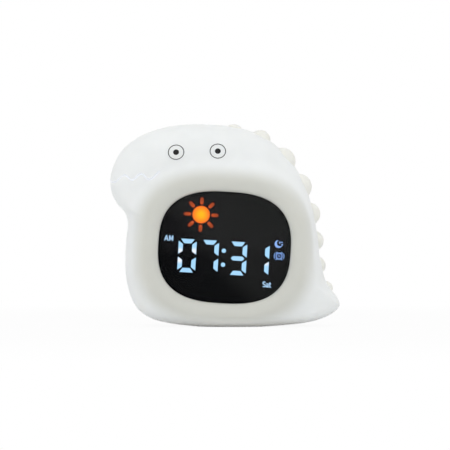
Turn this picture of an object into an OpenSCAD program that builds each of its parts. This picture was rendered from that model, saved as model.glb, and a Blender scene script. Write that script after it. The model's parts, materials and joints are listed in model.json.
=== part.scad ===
// Children's alarm clock and night light: a hollow soft cover shaped as a small
// dinosaur, stretched over a rigid clock unit with a dark oval display window.
// X runs to the right seen from the front, the display faces -Y and Z is up.
// The origin is on the table, under the middle of the body. Sizes are in millimetres.

/* [Soft cover] */
// Width from the snout to the tip of the tail
body_w = 150; // [140:1:165]
// Height of the body outline, without the ridge on the back
body_h = 131.6; // [125:0.2:145]
// Depth from the front of the ring to the back of the body
body_d = 76; // [72:1:84]
// Wall of the cover
cover_wall = 2.4; // [1.8:0.2:3]
// Depth from the ring down to the lip round the window
lip_drop = 4; // [3:0.5:5]
// Width of the lip that lies on the window
lip_w = 2.2; // [1.6:0.2:3]
// Distance from the lip to the crest of the ring
ring_crest = 8; // [6:0.5:9]
// Length over which the ring sinks into the head and the tail
ring_blend = 17; // [12:1:24]
// How far the head lies behind the crest of the ring
head_set_back = 7; // [4:0.5:10]
// How much the face leans back for each millimetre of height
head_lean = 0.1; // [0:0.02:0.2]
// How far the sides of the tail draw in
tail_set_back = 12; // [6:1:16]
// Rounding of the edge under the body
bottom_round = 9; // [7:0.5:12]
// Rounding of the sides
side_round = 17; // [13:0.5:20]
// Rounding of the head
head_round = 26; // [20:1:32]
// Spread of each bump of the ridge to both sides
ridge_spread = 2; // [1:0.5:4]
// Width of the mouth groove
mouth_w = 1.3; // [0.9:0.1:1.8]

/* [Eyes] */
// Outer diameter of the printed ring of an eye
eye_d = 10.5; // [9:0.1:12]
// Width of the line of the ring
eye_line = 0.5; // [0.4:0.05:0.8]
// Diameter of the pupil
pupil_d = 3.8; // [3:0.1:5]
// Thickness of the inlaid print
print_t = 0.3; // [0.2:0.05:0.5]

/* [Display] */
// Visible width of the window
display_w = 85.2; // [83:0.2:87]
// Visible height of the window
display_h = 71.8; // [70:0.2:74]
// Squareness of the window's oval, 2 is an ellipse
display_n = 2.7; // [2.4:0.1:3]
// How far the clock unit sits turned in the cover, clockwise
core_roll = 3.3; // [0:0.1:5]
// How far the window reaches under the lip
window_tuck = 1.6; // [1:0.1:2]
// Thickness of the window
window_t = 2; // [1.5:0.25:2.5]
// Height of a digit
digit_h = 21.5; // [19:0.2:23]
// Width of a digit
digit_w = 11.6; // [10:0.2:12]
// Width of a segment
segment_w = 2.8; // [2.4:0.1:3.2]
// Distance from the middle of a digit to the tips of its uprights
segment_gap = 0.9; // [0.7:0.1:1.2]
// Distance from a corner of a digit to the tips of its segments
segment_corner = 1.45; // [1.2:0.05:1.8]
// How far a segment's ends slant, as a share of its width
segment_slant = 0.7; // [0.6:0.05:0.9]
// Depth of the light cells behind the mask
reflector_t = 7; // [5:0.5:8]
// Diameter of the sun's disc
sun_d = 11.2; // [10:0.2:12]

/* [Clock unit] */
// Width of the housing beyond the visible window on each side
core_margin = 8; // [7.5:0.1:9]
// Wall of the housings
case_wall = 2; // [1.8:0.1:2.4]
// Thickness of the rear wall
back_wall = 2.2; // [2:0.1:2.6]
// Width of the raised rear panel
panel_w = 84; // [80:0.5:86]
// Height of the raised rear panel
panel_h = 68; // [66:0.5:70]
// Height of the raised rear panel above its shoulder
panel_rise = 2.4; // [2:0.1:2.8]
// Thickness of the circuit boards
board_t = 1.6; // [1:0.2:1.6]

/* [Buttons and ports] */
// Diameter of a button
button_d = 9; // [8:0.25:10]
// Height of a button above the rear panel
button_proud = 1.2; // [0.8:0.1:1.6]
// Travel of a button
button_travel = 0.5; // [0.3:0.05:0.6]
// Distance between the buttons sideways
button_pitch_x = 17; // [15:0.5:18]
// Distance between the two rows of buttons
button_pitch_z = 12; // [11.5:0.25:13]
// Travel of the power switch
switch_travel = 2; // [1.5:0.1:2.4]
// Width of the charging port's shell
port_w = 8.94; // [8.9:0.01:9]
// Height of the charging port's shell
port_h = 3.26; // [3.2:0.01:3.3]

/* [Speaker] */
// Diameter of the speaker
speaker_d = 27; // [25:0.5:27.5]
// Diameter of the speaker's magnet
magnet_d = 16; // [13:0.5:18]
// Diameter of one hole of the grille
grille_hole = 1.8; // [1.2:0.1:2]
// Distance between the rings of holes
grille_pitch = 3.6; // [3.2:0.1:4]

/* [Night light] */
// Diameter of the light dome's foot
dome_d = 34; // [32:0.5:36]
// Room between the light dome and the inside of the head
dome_room = 11.5; // [9:0.5:14]
// Wall of the light dome
dome_wall = 1.2; // [1:0.1:1.6]

/* [Battery] */
// Length of the battery pouch
battery_l = 52; // [44:1:52]
// Height of the battery pouch
battery_h = 34; // [28:1:36]
// Thickness of the battery pouch
battery_t = 8; // [6:0.5:9]

/* [Hidden] */

// Cut past a face, so that no skin is left
cut = 1;
// Gap between soft and rigid pieces that lie on each other
soft_gap = 0.3;
// Gap round a piece that drops into a pocket
fit_gap = 0.15;
// Gap round the inlaid print
print_gap = 0.05;
// How far the cutters of the eye pockets stand above the face
pocket_rise = 1.5;
pill_straight = 0.01;
// Gap round a screw in its pilot hole
screw_gap = 0.05;

// Centre of the display, from the origin
display_x = -0.3;
display_z = 51.4;

// Body outline seen from the front, x and z at the nominal size, anticlockwise from the top
nominal_w = 150;
nominal_h = 131.6;
outline_xz = [
    [-17, 131.6], [-31, 131], [-44.7, 128.2], [-57, 123], [-66.5, 115.5], [-72.3, 106],
    [-74.9, 96.5], [-74, 87.5], [-70.4, 80], [-65.2, 73.8], [-63.4, 66.5], [-64.5, 56],
    [-65, 44.4], [-64.6, 32], [-62, 21], [-57, 11.5], [-48, 5.2], [-37, 2.2],
    [-24, 0.5], [-10, -0.6], [6, -0.8], [22, -0.4], [38, 0.8], [50, 2], [61, 4.3],
    [70, 8.2], [74.8, 13.2], [73.5, 18.6], [67.9, 26], [64.8, 32.5], [63.2, 40.1],
    [61.6, 47.6], [60.8, 56], [59.4, 64.5], [57.8, 73.7], [55.3, 83], [51.9, 92.5],
    [46.9, 102], [40.6, 110.4], [32.8, 118.4], [24.5, 123.9], [15, 127.8], [6.5, 129.9], [-4, 131.1]];
// Bumps of the ridge: place in the outline, radius, height above the body
ridge = [[42, 6.1, 1.9], [40, 6.9, 3.7], [38, 8.8, 4.5], [36, 8.6, 4.5],
    [34, 7.6, 4.4], [32, 6.6, 3.7], [30, 5.9, 2.6], [28, 4.6, 2.2]];
// Half width and height of the stretch that keeps its place when the outline's size changes
kept_x = 60;
kept_z = 90;
// Points of the mouth seen from the front, x and z at the nominal size
mouth_xz = [[-76, 95], [-71.3, 93.8], [-65, 98], [-59.7, 94.9], [-54, 99], [-48.5, 95.2], [-42, 100.5]];
// Centres of the eyes seen from the front
eye_xz = [[-31.5, 112.8], [-4.6, 113.5]];

// Points between two outline points
outline_sub = 2;
// Steps across the lip and the ring, as shares of the crest's distance
lip_steps = [0, 0.08, 0.3, 0.62, 1];
// Steps from the crest to the edge, closer together towards the edge
flank_steps = 8;
flank_power = 1.5;
// Height above which the head leans, and share of that lean at the back
head_foot = 95;
back_lean = 0.6;
// The tail draws in from here, over its length and its drop
tail_x = 50;
tail_l = 22;
tail_z = 60;
tail_drop = 35;
// Squareness of the rounded edges, from the bottom up
bottom_n = 3.2;
side_n = 2.4;
head_n = 2.1;

// Thickness of the lip and of the ledge under the window, drop of the shoulder behind the lip,
// and room between the main board and the rear panel
lip_t = 1.2;
ledge_t = 1.5;
shoulder_drop = 1.8;
main_room = 7.2;
// Depths of the clock unit, from front to back
crest_y = body_d / 2;
lip_y = crest_y - lip_drop;
lip_back = lip_y - lip_t;
window_front = lip_back - soft_gap;
window_back = window_front - window_t;
tape_t = 0.2;
mask_back = window_back - tape_t;
ledge_back = mask_back - ledge_t;
board_front = mask_back - reflector_t;
board_back = board_front - board_t;
parting = 14;
shoulder_y = lip_back - shoulder_drop;
panel_y = shoulder_y + panel_rise;
panel_in = panel_y - back_wall;
main_rear = panel_in - main_room;
main_front = main_rear - board_t;

// Half sizes of the ovals
display_a = display_w / 2;
display_b = display_h / 2;
window_a = display_a + window_tuck;
window_b = display_b + window_tuck;
ledge_w = 3;
open_a = window_a - ledge_w;
open_b = window_b - ledge_w;
core_a = display_a + core_margin;
core_b = display_b + core_margin;
hollow_a = core_a - case_wall;
hollow_b = core_b - case_wall;
panel_a = panel_w / 2;
panel_b = panel_h / 2;
board_inset = 1.4;
board_ear_r = 3.2;

// Screws
small_screw_r = 0.95;
small_head_r = 2.1;
case_screw_r = 1.2;
case_head_r = 2.5;
head_h = 1.4;
screw_clear = 0.3;
boss_wall = 2;
post_wall = 1.6;
case_boss_r = 4;
boss_inset = 3.7;
// How far a boss runs into the wall that carries it
root = 0.5;
// Depths of the pilot bores and reach of the screws in them
small_bore = 6;
small_reach = 5;
case_bore = 12;
case_reach = 9;
// Where the screws and their bores end in the rear housing, from the inside of its panel
main_screw_end = 1.4;
main_bore_end = 0.6;
speaker_head_r = 3.5;
speaker_screw_end = 0.8;
speaker_bore_end = 0.3;
case_boss_angles = [20, 160, 200, 340];
board_boss_angles = [40, 140, 220, 320];

// Places on the rear panel, as x and z from the display's centre
speaker_xz = [0, 15.5];
button_row_z = -6.5;
port_inset = 6;
port_clear = 0.3;
port_xz = [0, port_inset - panel_b];
switch_xz = [15.5, port_inset - panel_b];
main_board_w = 60;
main_board_top = -1.5;
main_board_bottom = -32;
main_boss_xz = [[-26.5, -5.5], [26.5, -5.5], [-24.5, -26], [24.5, -26]];

// Speaker, from the rear panel forwards
gasket_t = 0.5;
rim_t = 1.2;
basket_h = 3.4;
magnet_t = 3.6;
speaker_post_room = 3.1;
rim_rear = panel_in - gasket_t;
rim_front = rim_rear - rim_t;
speaker_r = speaker_d / 2;
magnet_r = magnet_d / 2;
speaker_post_x = speaker_r + speaker_post_room;
magnet_rear = rim_front - basket_h;
magnet_front = magnet_rear - magnet_t;
coil_r = 4.4;
speaker_post_xz = [for (s = [-1, 1]) speaker_xz + [s * speaker_post_x, 0]];

// Night light, on top of the clock unit
light_x = -6;
light_y = 6;
pedestal_rise = 2;
pedestal_root = 8;
pedestal_top = core_b + pedestal_rise;
dome_h = body_h - cover_wall - dome_room - display_z - pedestal_top;
dome_side = 4;

// Battery
battery_x = -6;
battery_z = -6;
battery_tape_t = 1;

// Digits
digit_x = [-23.8, -9.4, 8.8, 23.3];
digit_z = -6.6;
colon_x = -0.3;
colon_z = [4.5, -4.5];
colon_d = 2.8;

// Sun above the digits
sun_xz = [-16.2, 20.3];
ray_in = 6.5;
ray_out = 11.2;
ray_w = 2.2;
ray_count = 8;

// Half of the day, moon, alarm and weekday, as places and as sizes of their light cells
icon_xz = [[-36.1, 4.1], [35.2, 4.2], [35.4, -3.5], [28.7, -22.2]];
icon_size = [[6, 4.2], [5.6, 5.6], [6.6, 5.6], [6.6, 4.6]];

function superellipse_r(a, b, angle) =
    1 / pow(pow(abs(cos(angle)) / a, display_n) + pow(abs(sin(angle)) / b, display_n), 1 / display_n);
function smooth(t) = let (u = min(1, max(0, t))) u * u * (3 - 2 * u);
function unit(v) = v / norm(v);
function at(list, i) = list[(i + len(list)) % len(list)];

// Smooth curve through four points, between the second and the third
function spline(a, b, c, d, t) =
    0.5 * (2 * b + (c - a) * t + (2 * a - 5 * b + 4 * c - d) * t * t + (3 * b - a - 3 * c + d) * t * t * t);
function closed_spline(points, sub) = [
    for (i = [0 : len(points) - 1], k = [0 : sub - 1])
        spline(at(points, i - 1), points[i], at(points, i + 1), at(points, i + 2), k / sub)];
function open_spline(points, sub) = let (n = len(points)) [
    for (i = [0 : n - 2], k = [0 : sub - 1])
        spline(points[max(0, i - 1)], points[i], points[i + 1], points[min(n - 1, i + 2)], k / sub),
    points[n - 1]];

// ---------------------------------------------------------------- soft cover

// Another width moves the snout and the tail, and another height the head: the body keeps to its unit
function fitted(p) = p + [
    sign(p[0]) * (body_w - nominal_w) / 2 * smooth((abs(p[0]) - kept_x) / (nominal_w / 2 - kept_x)),
    (body_h - nominal_h) * smooth((p[1] - kept_z) / (nominal_h - kept_z))];
outline = [for (p = outline_xz) fitted(p)];
skin = closed_spline(outline, outline_sub);
rings = len(skin);
display_c = [display_x, display_z];

function angle_of(p) = atan2(p[1] - display_z, p[0] - display_x);
skin_start = angle_of(skin[0]);
function unwrapped(angle) = angle < skin_start - 0.001 ? angle + 360 : angle;
// Distance of the outline from the display's centre, by angle
reach = concat([for (p = skin) [unwrapped(angle_of(p)), norm(p - display_c)]],
    [[skin_start + 360, norm(skin[0] - display_c)]]);

function edge_width(z, span) = min(span - 3, lookup(z,
    [[2, bottom_round], [24, side_round], [70, side_round], [96, head_round], [131, head_round]]));
function edge_power(z) = lookup(z, [[2, bottom_n], [24, side_n], [70, side_n], [96, head_n]]);

// Depth of the body's face: d from the lip, span from the lip to the outline, at the place p
function face_depth(d, span, edge_z, p, rise, back) =
    let (
        far = max(0, d - ring_crest) / ring_blend,
        ring = d < ring_crest
            ? crest_y - rise + rise * sqrt(1 - pow(1 - d / ring_crest, 2))
            : crest_y - head_set_back * smooth(far),
        lean = head_lean * (back ? back_lean : 1) * max(0, p[1] - head_foot),
        tail = tail_set_back * smooth((p[0] - tail_x) / tail_l) * smooth((tail_z - p[1]) / tail_drop),
        w = edge_width(edge_z, span),
        n = edge_power(edge_z),
        e = min(1, max(0, span - d) / w))
    (ring - lean - tail) * pow(max(0, 1 - pow(1 - e, n)), 1 / n);

function step_distance(k, span) =
    k < len(lip_steps) ? lip_steps[k] * ring_crest :
    let (q = (k - len(lip_steps) + 1) / flank_steps)
    ring_crest + (span - ring_crest) * (1 - pow(1 - q, flank_power));
face_steps = len(lip_steps) + flank_steps;

// One line of points from a lip to the outline, side is -1 in front and 1 at the back
function face_line(i, side, a, b, rise) =
    let (
        p = skin[i],
        dir = unit(p - display_c),
        inner = superellipse_r(a, b, angle_of(p) + core_roll),
        span = norm(p - display_c) - inner)
    [for (k = [0 : face_steps - 1])
        let (
            d = step_distance(k, span),
            q = display_c + dir * (inner + d))
        [q[0], side * face_depth(d, span, p[1], q, rise, side > 0), q[1]]];

rear_lip_a = panel_a + soft_gap;
rear_lip_b = panel_b + soft_gap;
rear_lip_back = shoulder_y + soft_gap;

// Outer points of each ring, from the front lip over the edge to the rear lip
outer = [for (i = [0 : rings - 1])
    let (
        front = face_line(i, -1, display_a, display_b, lip_drop),
        rear = face_line(i, 1, rear_lip_a, rear_lip_b, crest_y - panel_y))
    concat(front, [for (k = [face_steps - 2 : -1 : 0]) rear[k]])];
line_len = 2 * face_steps - 1;

function inward_normal(i, j) = unit(cross(
    at(outer, i + 1)[j] - at(outer, i - 1)[j],
    outer[i][j + 1] - outer[i][j - 1]));
function lip_point(i, a, b, d, y) =
    let (
        p = skin[i],
        q = display_c + unit(p - display_c) * (superellipse_r(a, b, angle_of(p) + core_roll) + d))
    [q[0], y, q[1]];

// First and last outer point that carry the inner skin
inner_first = len(lip_steps) - 2;
inner_last = line_len - len(lip_steps) + 1;
function inner_point(i, j) =
    let (q = outer[i][j] + cover_wall * inward_normal(i, j))
    [q[0], q[1], max(q[2], cover_wall)];
ring_points = [for (i = [0 : rings - 1]) concat(
    outer[i],
    [lip_point(i, rear_lip_a, rear_lip_b, 0, rear_lip_back),
     lip_point(i, rear_lip_a, rear_lip_b, lip_w, rear_lip_back)],
    [for (j = [inner_last : -2 : inner_first]) inner_point(i, j)],
    [lip_point(i, display_a, display_b, lip_w, -lip_back),
     lip_point(i, display_a, display_b, 0, -lip_back)])];
ring_len = len(ring_points[0]);

module cover_shell() {
    points = [for (ring = ring_points) each ring];
    faces = [for (i = [0 : rings - 1], j = [0 : ring_len - 1])
        let (
            a = i * ring_len + j,
            b = i * ring_len + (j + 1) % ring_len,
            c = ((i + 1) % rings) * ring_len + (j + 1) % ring_len,
            d = ((i + 1) % rings) * ring_len + j)
        each [[a, c, b], [a, d, c]]];
    polyhedron(points = points, faces = faces, convexity = 12);
}

// A place on the front of the cover above x and z, by the same steps as the shell's own points
function front_point(p) =
    let (
        angle = angle_of(p),
        dir = unit(p - display_c),
        inner = superellipse_r(display_a, display_b, angle + core_roll),
        far = lookup(unwrapped(angle), reach),
        span = far - inner,
        edge_z = display_z + far * sin(angle),
        depths = [for (k = [0 : face_steps - 1])
            let (d = step_distance(k, span))
            [d, face_depth(d, span, edge_z, display_c + dir * (inner + d), lip_drop, false)]])
    [p[0], -lookup(norm(p - display_c) - inner, depths), p[1]];
function front_normal(p) = unit(cross(
    front_point([p[0], p[1] + 0.5]) - front_point([p[0], p[1] - 0.5]),
    front_point([p[0] + 0.5, p[1]]) - front_point([p[0] - 0.5, p[1]])));

// Closed solid some way inside the wall, which keeps the bumps out of the hollow
module wall_core(share) {
    picks = [for (j = [inner_last : -2 : inner_first]) j];
    n = len(picks);
    points = concat(
        [for (i = [0 : rings - 1], j = picks) outer[i][j] + share * cover_wall * inward_normal(i, j)],
        [[display_x, rear_lip_back, display_z], [display_x, -lip_back, display_z]]);
    sides = [for (i = [0 : rings - 1], k = [0 : n - 2])
        let (
            a = i * n + k,
            b = ((i + 1) % rings) * n + k)
        each [[a, a + 1, b], [b, a + 1, b + 1]]];
    caps = [for (i = [0 : rings - 1])
        let (
            a = i * n,
            b = ((i + 1) % rings) * n)
        each [[a, b, rings * n], [b + n - 1, a + n - 1, rings * n + 1]]];
    polyhedron(points = points, faces = concat(sides, caps), convexity = 12);
}

module ridge_bumps() {
    for (b = ridge) {
        p = outline[b[0]];
        along = unit(at(outline, b[0] + 1) - outline[b[0] - 1]);
        q = p + [along[1], -along[0]] * (b[2] - b[1]);
        hull() {
            for (s = [-1, 1]) {
                translate([q[0], s * ridge_spread, q[1]]) sphere(r = b[1], $fn = 20);
            }
        }
    }
}

mouth_line = [for (p = open_spline([for (q = mouth_xz) fitted(q)], 2)) front_point(p)];

module mouth_groove() {
    for (i = [0 : len(mouth_line) - 2]) {
        hull() {
            translate(mouth_line[i]) sphere(d = mouth_w, $fn = 8);
            translate(mouth_line[i + 1]) sphere(d = mouth_w, $fn = 8);
        }
    }
}

// A band of print that follows the face, from radius r0 to r1, from below the surface to above it
module print_band(p, r0, r1, below, above) {
    steps = 32;
    n = front_normal(p);
    right = unit(cross([0, 0, 1], -n));
    up = cross(right, n);
    ring = [for (k = [0 : steps - 1], r = [r0, r1], h = [-below, above])
        let (
            q = front_point(p) + r * (right * cos(360 * k / steps) + up * sin(360 * k / steps)),
            s = front_point([q[0], q[2]]))
        s + h * n];
    faces = [for (k = [0 : steps - 1])
        let (a = 4 * k, b = 4 * ((k + 1) % steps))
        each [
            [a + 1, b + 1, b, a], [a + 3, b + 3, b + 1, a + 1],
            [a + 2, b + 2, b + 3, a + 3], [a, b, b + 2, a + 2]]];
    triangles = [for (f = faces) each [[f[0], f[1], f[2]], [f[0], f[2], f[3]]]];
    polyhedron(points = ring, faces = triangles, convexity = 4);
}
module print_spot(p, r, below, above) {
    steps = 24;
    n = front_normal(p);
    right = unit(cross([0, 0, 1], -n));
    up = cross(right, n);
    rim = [for (h = [-below, above], k = [0 : steps - 1])
        let (q = front_point(p) + r * (right * cos(360 * k / steps) + up * sin(360 * k / steps)))
        front_point([q[0], q[2]]) + h * n];
    points = concat(rim, [front_point(p) - below * n, front_point(p) + above * n]);
    polyhedron(points = points, faces = [for (k = [0 : steps - 1])
        let (a = k, b = (k + 1) % steps)
        each [
            [a, b, b + steps], [a, b + steps, a + steps],
            [b, a, 2 * steps], [a + steps, b + steps, 2 * steps + 1]]],
        convexity = 4);
}
module eye_pockets() {
    for (p = eye_xz) {
        q = fitted(p);
        print_band(q, eye_d / 2 - eye_line - print_gap, eye_d / 2 + print_gap,
            print_t + print_gap, pocket_rise);
        print_spot(q, pupil_d / 2 + print_gap, print_t + print_gap, pocket_rise);
    }
}

module silicone_cover() color([0.95, 0.96, 0.95]) {
    difference() {
        union() {
            difference() {
                union() {
                    cover_shell();
                    difference() {
                        ridge_bumps();
                        wall_core(0.6);
                    }
                }
                mouth_groove();
                eye_pockets();
            }
        }
        translate([-body_w, -body_d, -body_h]) cube([2 * body_w, 2 * body_d, body_h]);
    }
}
module eye_rings() color([0.2, 0.2, 0.2]) {
    for (p = eye_xz) print_band(fitted(p), eye_d / 2 - eye_line, eye_d / 2, print_t, 0);
}
module eye_pupils() color([0.05, 0.05, 0.05]) {
    for (p = eye_xz) print_spot(fitted(p), pupil_d / 2, print_t, 0);
}

// ---------------------------------------------------------------- helpers of the clock unit

// Frame of the clock unit: origin at the display's centre, turned with the unit
module on_core() {
    translate([display_x, 0, display_z]) rotate([0, core_roll, 0]) children();
}
// Extrudes a shape drawn in x and z from y0 to y1
module slab(y0, y1) {
    translate([0, y1, 0]) rotate([90, 0, 0]) linear_extrude(y1 - y0) children();
}
// Oval with its corners on the same rays as the cover's lip, so that the two run side by side
module lip_oval(a, b) {
    polygon([for (p = skin)
        let (t = angle_of(p) + core_roll) superellipse_r(a, b, t) * [cos(t), sin(t)]]);
}
module oval(a, b) {
    steps = 72;
    polygon([for (k = [0 : steps - 1])
        let (t = 360 * k / steps) superellipse_r(a, b, t) * [cos(t), sin(t)]]);
}
// Rod along Y
module rod(r, y0, y1) {
    translate([0, y1, 0]) rotate([90, 0, 0]) cylinder(h = y1 - y0, r = r, $fn = 32);
}
module at_xz(p) {
    translate([p[0], 0, p[1]]) children();
}
module block(w, h, y0, y1) {
    slab(y0, y1) square([w, h], center = true);
}
// Slot shape: a little straight is left between the round ends
module pill(w, h) {
    rounded(w, h, h / 2 - pill_straight);
}
module rounded(w, h, r) {
    square([w - 2 * r, h], center = true);
    square([w, h - 2 * r], center = true);
    for (x = [-1, 1], z = [-1, 1]) translate([x * (w / 2 - r), z * (h / 2 - r)]) circle(r = r, $fn = 24);
}
function ring_xz(angle) =
    superellipse_r(hollow_a - boss_inset, hollow_b - boss_inset, angle) * [cos(angle), sin(angle)];
module at_case_bosses() {
    for (a = case_boss_angles) at_xz(ring_xz(a)) children();
}
module at_board_bosses() {
    for (a = board_boss_angles) at_xz(ring_xz(a)) children();
}
module at_main_bosses() {
    for (p = main_boss_xz) at_xz(p) children();
}
module at_speaker_posts() {
    for (p = speaker_post_xz) at_xz(p) children();
}

// ---------------------------------------------------------------- housings

tongue_h = 2;
tongue_t = 1;
module front_housing() color([0.93, 0.93, 0.9]) on_core() {
    difference() {
        union() {
            difference() {
                slab(-window_front, -parting) oval(core_a, core_b);
                slab(-ledge_back, -parting + cut) oval(hollow_a, hollow_b);
            }
            at_board_bosses() rod(small_screw_r + boss_wall, -ledge_back - root, -board_front);
            at_case_bosses() rod(case_screw_r + boss_wall, -ledge_back - root, -parting);
            difference() {
                slab(-parting - tongue_h, -parting + tongue_h) oval(hollow_a - fit_gap, hollow_b - fit_gap);
                slab(-parting - tongue_h - cut, -parting + tongue_h + cut)
                    oval(hollow_a - fit_gap - tongue_t, hollow_b - fit_gap - tongue_t);
                at_case_bosses() rod(case_boss_r + boss_wall, -parting, -parting + tongue_h + cut);
            }
            difference() {
                slab(-parting - tongue_h, -parting - tongue_h / 2)
                    oval(hollow_a + case_wall / 2, hollow_b + case_wall / 2);
                slab(-parting - tongue_h - cut, -parting - tongue_h / 2 + cut)
                    oval(hollow_a - fit_gap - tongue_t, hollow_b - fit_gap - tongue_t);
            }
        }
        slab(-window_front - cut, -mask_back) oval(window_a + fit_gap, window_b + fit_gap);
        slab(-mask_back - cut, -ledge_back + cut) oval(open_a, open_b);
        at_board_bosses() rod(small_screw_r + screw_gap, -board_front - small_bore, -board_front + cut);
        at_case_bosses() rod(case_screw_r + screw_gap, -parting - case_bore, -parting + cut);
    }
}

seat_h = 6;
seat_y = -parting + seat_h;
panel_wall = 2.2;
speaker_rim_wall = 1.4;
speaker_rim_front = rim_front + 0.2;
pedestal_hole_r = 3;
light_bore = 3.4;
light_reach = 3;
light_head_r = 1.9;
light_head_h = 1.2;
light_screw_ring = 12.6;
light_screw_angles = [30, 150, 270];
switch_slot_h = 2.4;
knob_w = 2.2;
knob_h = 1.8;
module rear_shell() {
    difference() {
        union() {
            slab(-parting, shoulder_y) oval(core_a, core_b);
            slab(shoulder_y - cut, panel_y) lip_oval(panel_a, panel_b);
            translate([light_x, light_y, core_b - pedestal_root])
                cylinder(h = pedestal_rise + pedestal_root, d = dome_d, $fn = 72);
        }
        difference() {
            slab(-parting - cut, shoulder_y - back_wall) oval(hollow_a, hollow_b);
            at_case_bosses() rod(case_boss_r, -parting - 2 * cut, shoulder_y);
        }
        slab(shoulder_y - back_wall - cut, panel_in) oval(panel_a - panel_wall, panel_b - panel_wall);
    }
}
module rear_housing() color([0.92, 0.92, 0.89]) on_core() {
    difference() {
        union() {
            rear_shell();
            at_main_bosses() rod(small_screw_r + boss_wall, main_rear, panel_in + root);
            at_speaker_posts() rod(small_screw_r + post_wall, rim_front, panel_in + root);
            at_xz(speaker_xz) difference() {
                rod(speaker_r + speaker_rim_wall, speaker_rim_front, panel_in + root);
                rod(speaker_r + soft_gap, speaker_rim_front - cut, panel_in);
            }
        }
        at_case_bosses() {
            rod(case_screw_r + screw_clear, -parting - cut, seat_y + cut);
            rod(case_head_r + screw_clear, seat_y, shoulder_y + cut);
        }
        at_main_bosses() rod(small_screw_r + screw_gap, main_rear - cut, panel_in - main_bore_end);
        at_speaker_posts() rod(small_screw_r + screw_gap, rim_front - cut, panel_in - speaker_bore_end);
        at_xz(speaker_xz) grille_holes();
        for (c = [-1 : 1], r = [0, 1]) {
            at_xz(button_xz(c, r)) rod(button_d / 2 + soft_gap, panel_in - cut, panel_y + cut);
        }
        at_xz(port_xz) slab(panel_in - cut, panel_y + cut)
            pill(port_w + 2 * port_clear, port_h + 2 * port_clear);
        at_xz(switch_xz) slab(panel_in - cut, panel_y + cut)
            square([knob_w + switch_travel + 2 * soft_gap, switch_slot_h], center = true);
        translate([light_x, light_y, hollow_b - pedestal_root])
            cylinder(h = 2 * pedestal_root + pedestal_rise + case_wall, r = pedestal_hole_r, $fn = 32);
        for (a = light_screw_angles) at_light(a) translate([0, 0, pedestal_top - light_bore])
            cylinder(h = light_bore + cut, r = small_screw_r + screw_gap, $fn = 32);
    }
}
function button_xz(c, r) = [c * button_pitch_x, button_row_z - r * button_pitch_z];
module at_light(a) {
    translate([light_x + light_screw_ring * cos(a), light_y + light_screw_ring * sin(a), 0]) children();
}
module grille_holes() {
    rod(grille_hole / 2, panel_in - cut, panel_y + cut);
    for (k = [1 : 3], m = [0 : 6 * k - 1]) {
        t = 360 * m / (6 * k);
        at_xz(k * grille_pitch * [cos(t), sin(t)]) rod(grille_hole / 2, panel_in - cut, panel_y + cut);
    }
}
module case_screws() color([0.7, 0.7, 0.72]) on_core() {
    at_case_bosses() {
        rod(case_head_r, seat_y, seat_y + head_h);
        rod(case_screw_r, -parting - case_reach, seat_y + root);
    }
}

// ---------------------------------------------------------------- display

module display_window() color([0.04, 0.045, 0.05, 0.6]) on_core() {
    slab(-window_front, -window_back) oval(window_a, window_b);
}
module window_adhesive() color([0.1, 0.1, 0.1]) on_core() {
    slab(-window_back, -mask_back) difference() {
        oval(window_a, window_b);
        oval(open_a + tape_t, open_b + tape_t);
    }
}

// Segments along x: one of the border, with its long edge up, and the pointed one in the middle
module border_segment(l) {
    w = segment_w;
    end = l / 2 - w * segment_slant;
    polygon([[-l / 2, w / 2], [l / 2, w / 2], [end, -w / 2], [-end, -w / 2]]);
}
module middle_segment(l) {
    h = segment_w / 2;
    polygon([[-l / 2, 0], [h - l / 2, h], [l / 2 - h, h], [l / 2, 0], [l / 2 - h, -h], [h - l / 2, -h]]);
}
module digit_segments() {
    x = (digit_w - segment_w) / 2;
    z = (digit_h - segment_w) / 2;
    level = digit_w - 2 * segment_corner;
    upright = digit_h / 2 - segment_corner - segment_gap;
    middle_segment(level);
    for (s = [-1, 1]) {
        rotate(s < 0 ? 180 : 0) translate([0, z]) border_segment(level);
        for (k = [-1, 1]) {
            translate([s * x, k * (segment_gap + upright / 2)]) rotate(-90 * s) border_segment(upright);
        }
    }
}
module sun_rays() {
    for (k = [0 : ray_count - 1]) rotate(360 / ray_count * k) {
        translate([ray_in + ray_w / 2, -ray_w / 2]) square([ray_out - ray_in - ray_w, ray_w]);
        translate([ray_in + ray_w / 2, 0]) circle(d = ray_w, $fn = 20);
        translate([ray_out - ray_w / 2, 0]) circle(d = ray_w, $fn = 20);
    }
}
module light_openings() {
    for (x = digit_x) translate([x, digit_z]) digit_segments();
    for (z = colon_z) translate([colon_x, digit_z + z]) circle(d = colon_d, $fn = 24);
    translate(sun_xz) circle(d = sun_d, $fn = 48);
    translate(sun_xz) sun_rays();
    for (k = [0 : 3]) translate(icon_xz[k]) square(icon_size[k], center = true);
}
module display_mask() color([0.03, 0.03, 0.03]) on_core() {
    slab(-window_back, -mask_back) difference() {
        oval(open_a, open_b);
        light_openings();
    }
}
plate_t = 1;
plate_gap = 0.4;
cell_wall = 1;
colon_cell_h = 16;
module display_reflector() color([0.96, 0.96, 0.96]) on_core() {
    difference() {
        union() {
            slab(-mask_back, -mask_back + plate_t) oval(open_a - plate_gap, open_b - plate_gap);
            for (x = digit_x) at_xz([x, digit_z])
                block(digit_w + 2 * cell_wall, digit_h + 2 * cell_wall, -mask_back, -board_front);
            at_xz([colon_x, digit_z]) block(colon_d + 2 * cell_wall, colon_cell_h, -mask_back, -board_front);
            at_xz(sun_xz) rod(ray_out + cell_wall, -mask_back, -board_front);
            for (k = [0 : 3]) at_xz(icon_xz[k])
                block(icon_size[k][0] + cell_wall, icon_size[k][1] + cell_wall, -mask_back, -board_front);
        }
        slab(-mask_back - cut, -board_front + cut) light_openings();
    }
}
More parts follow.
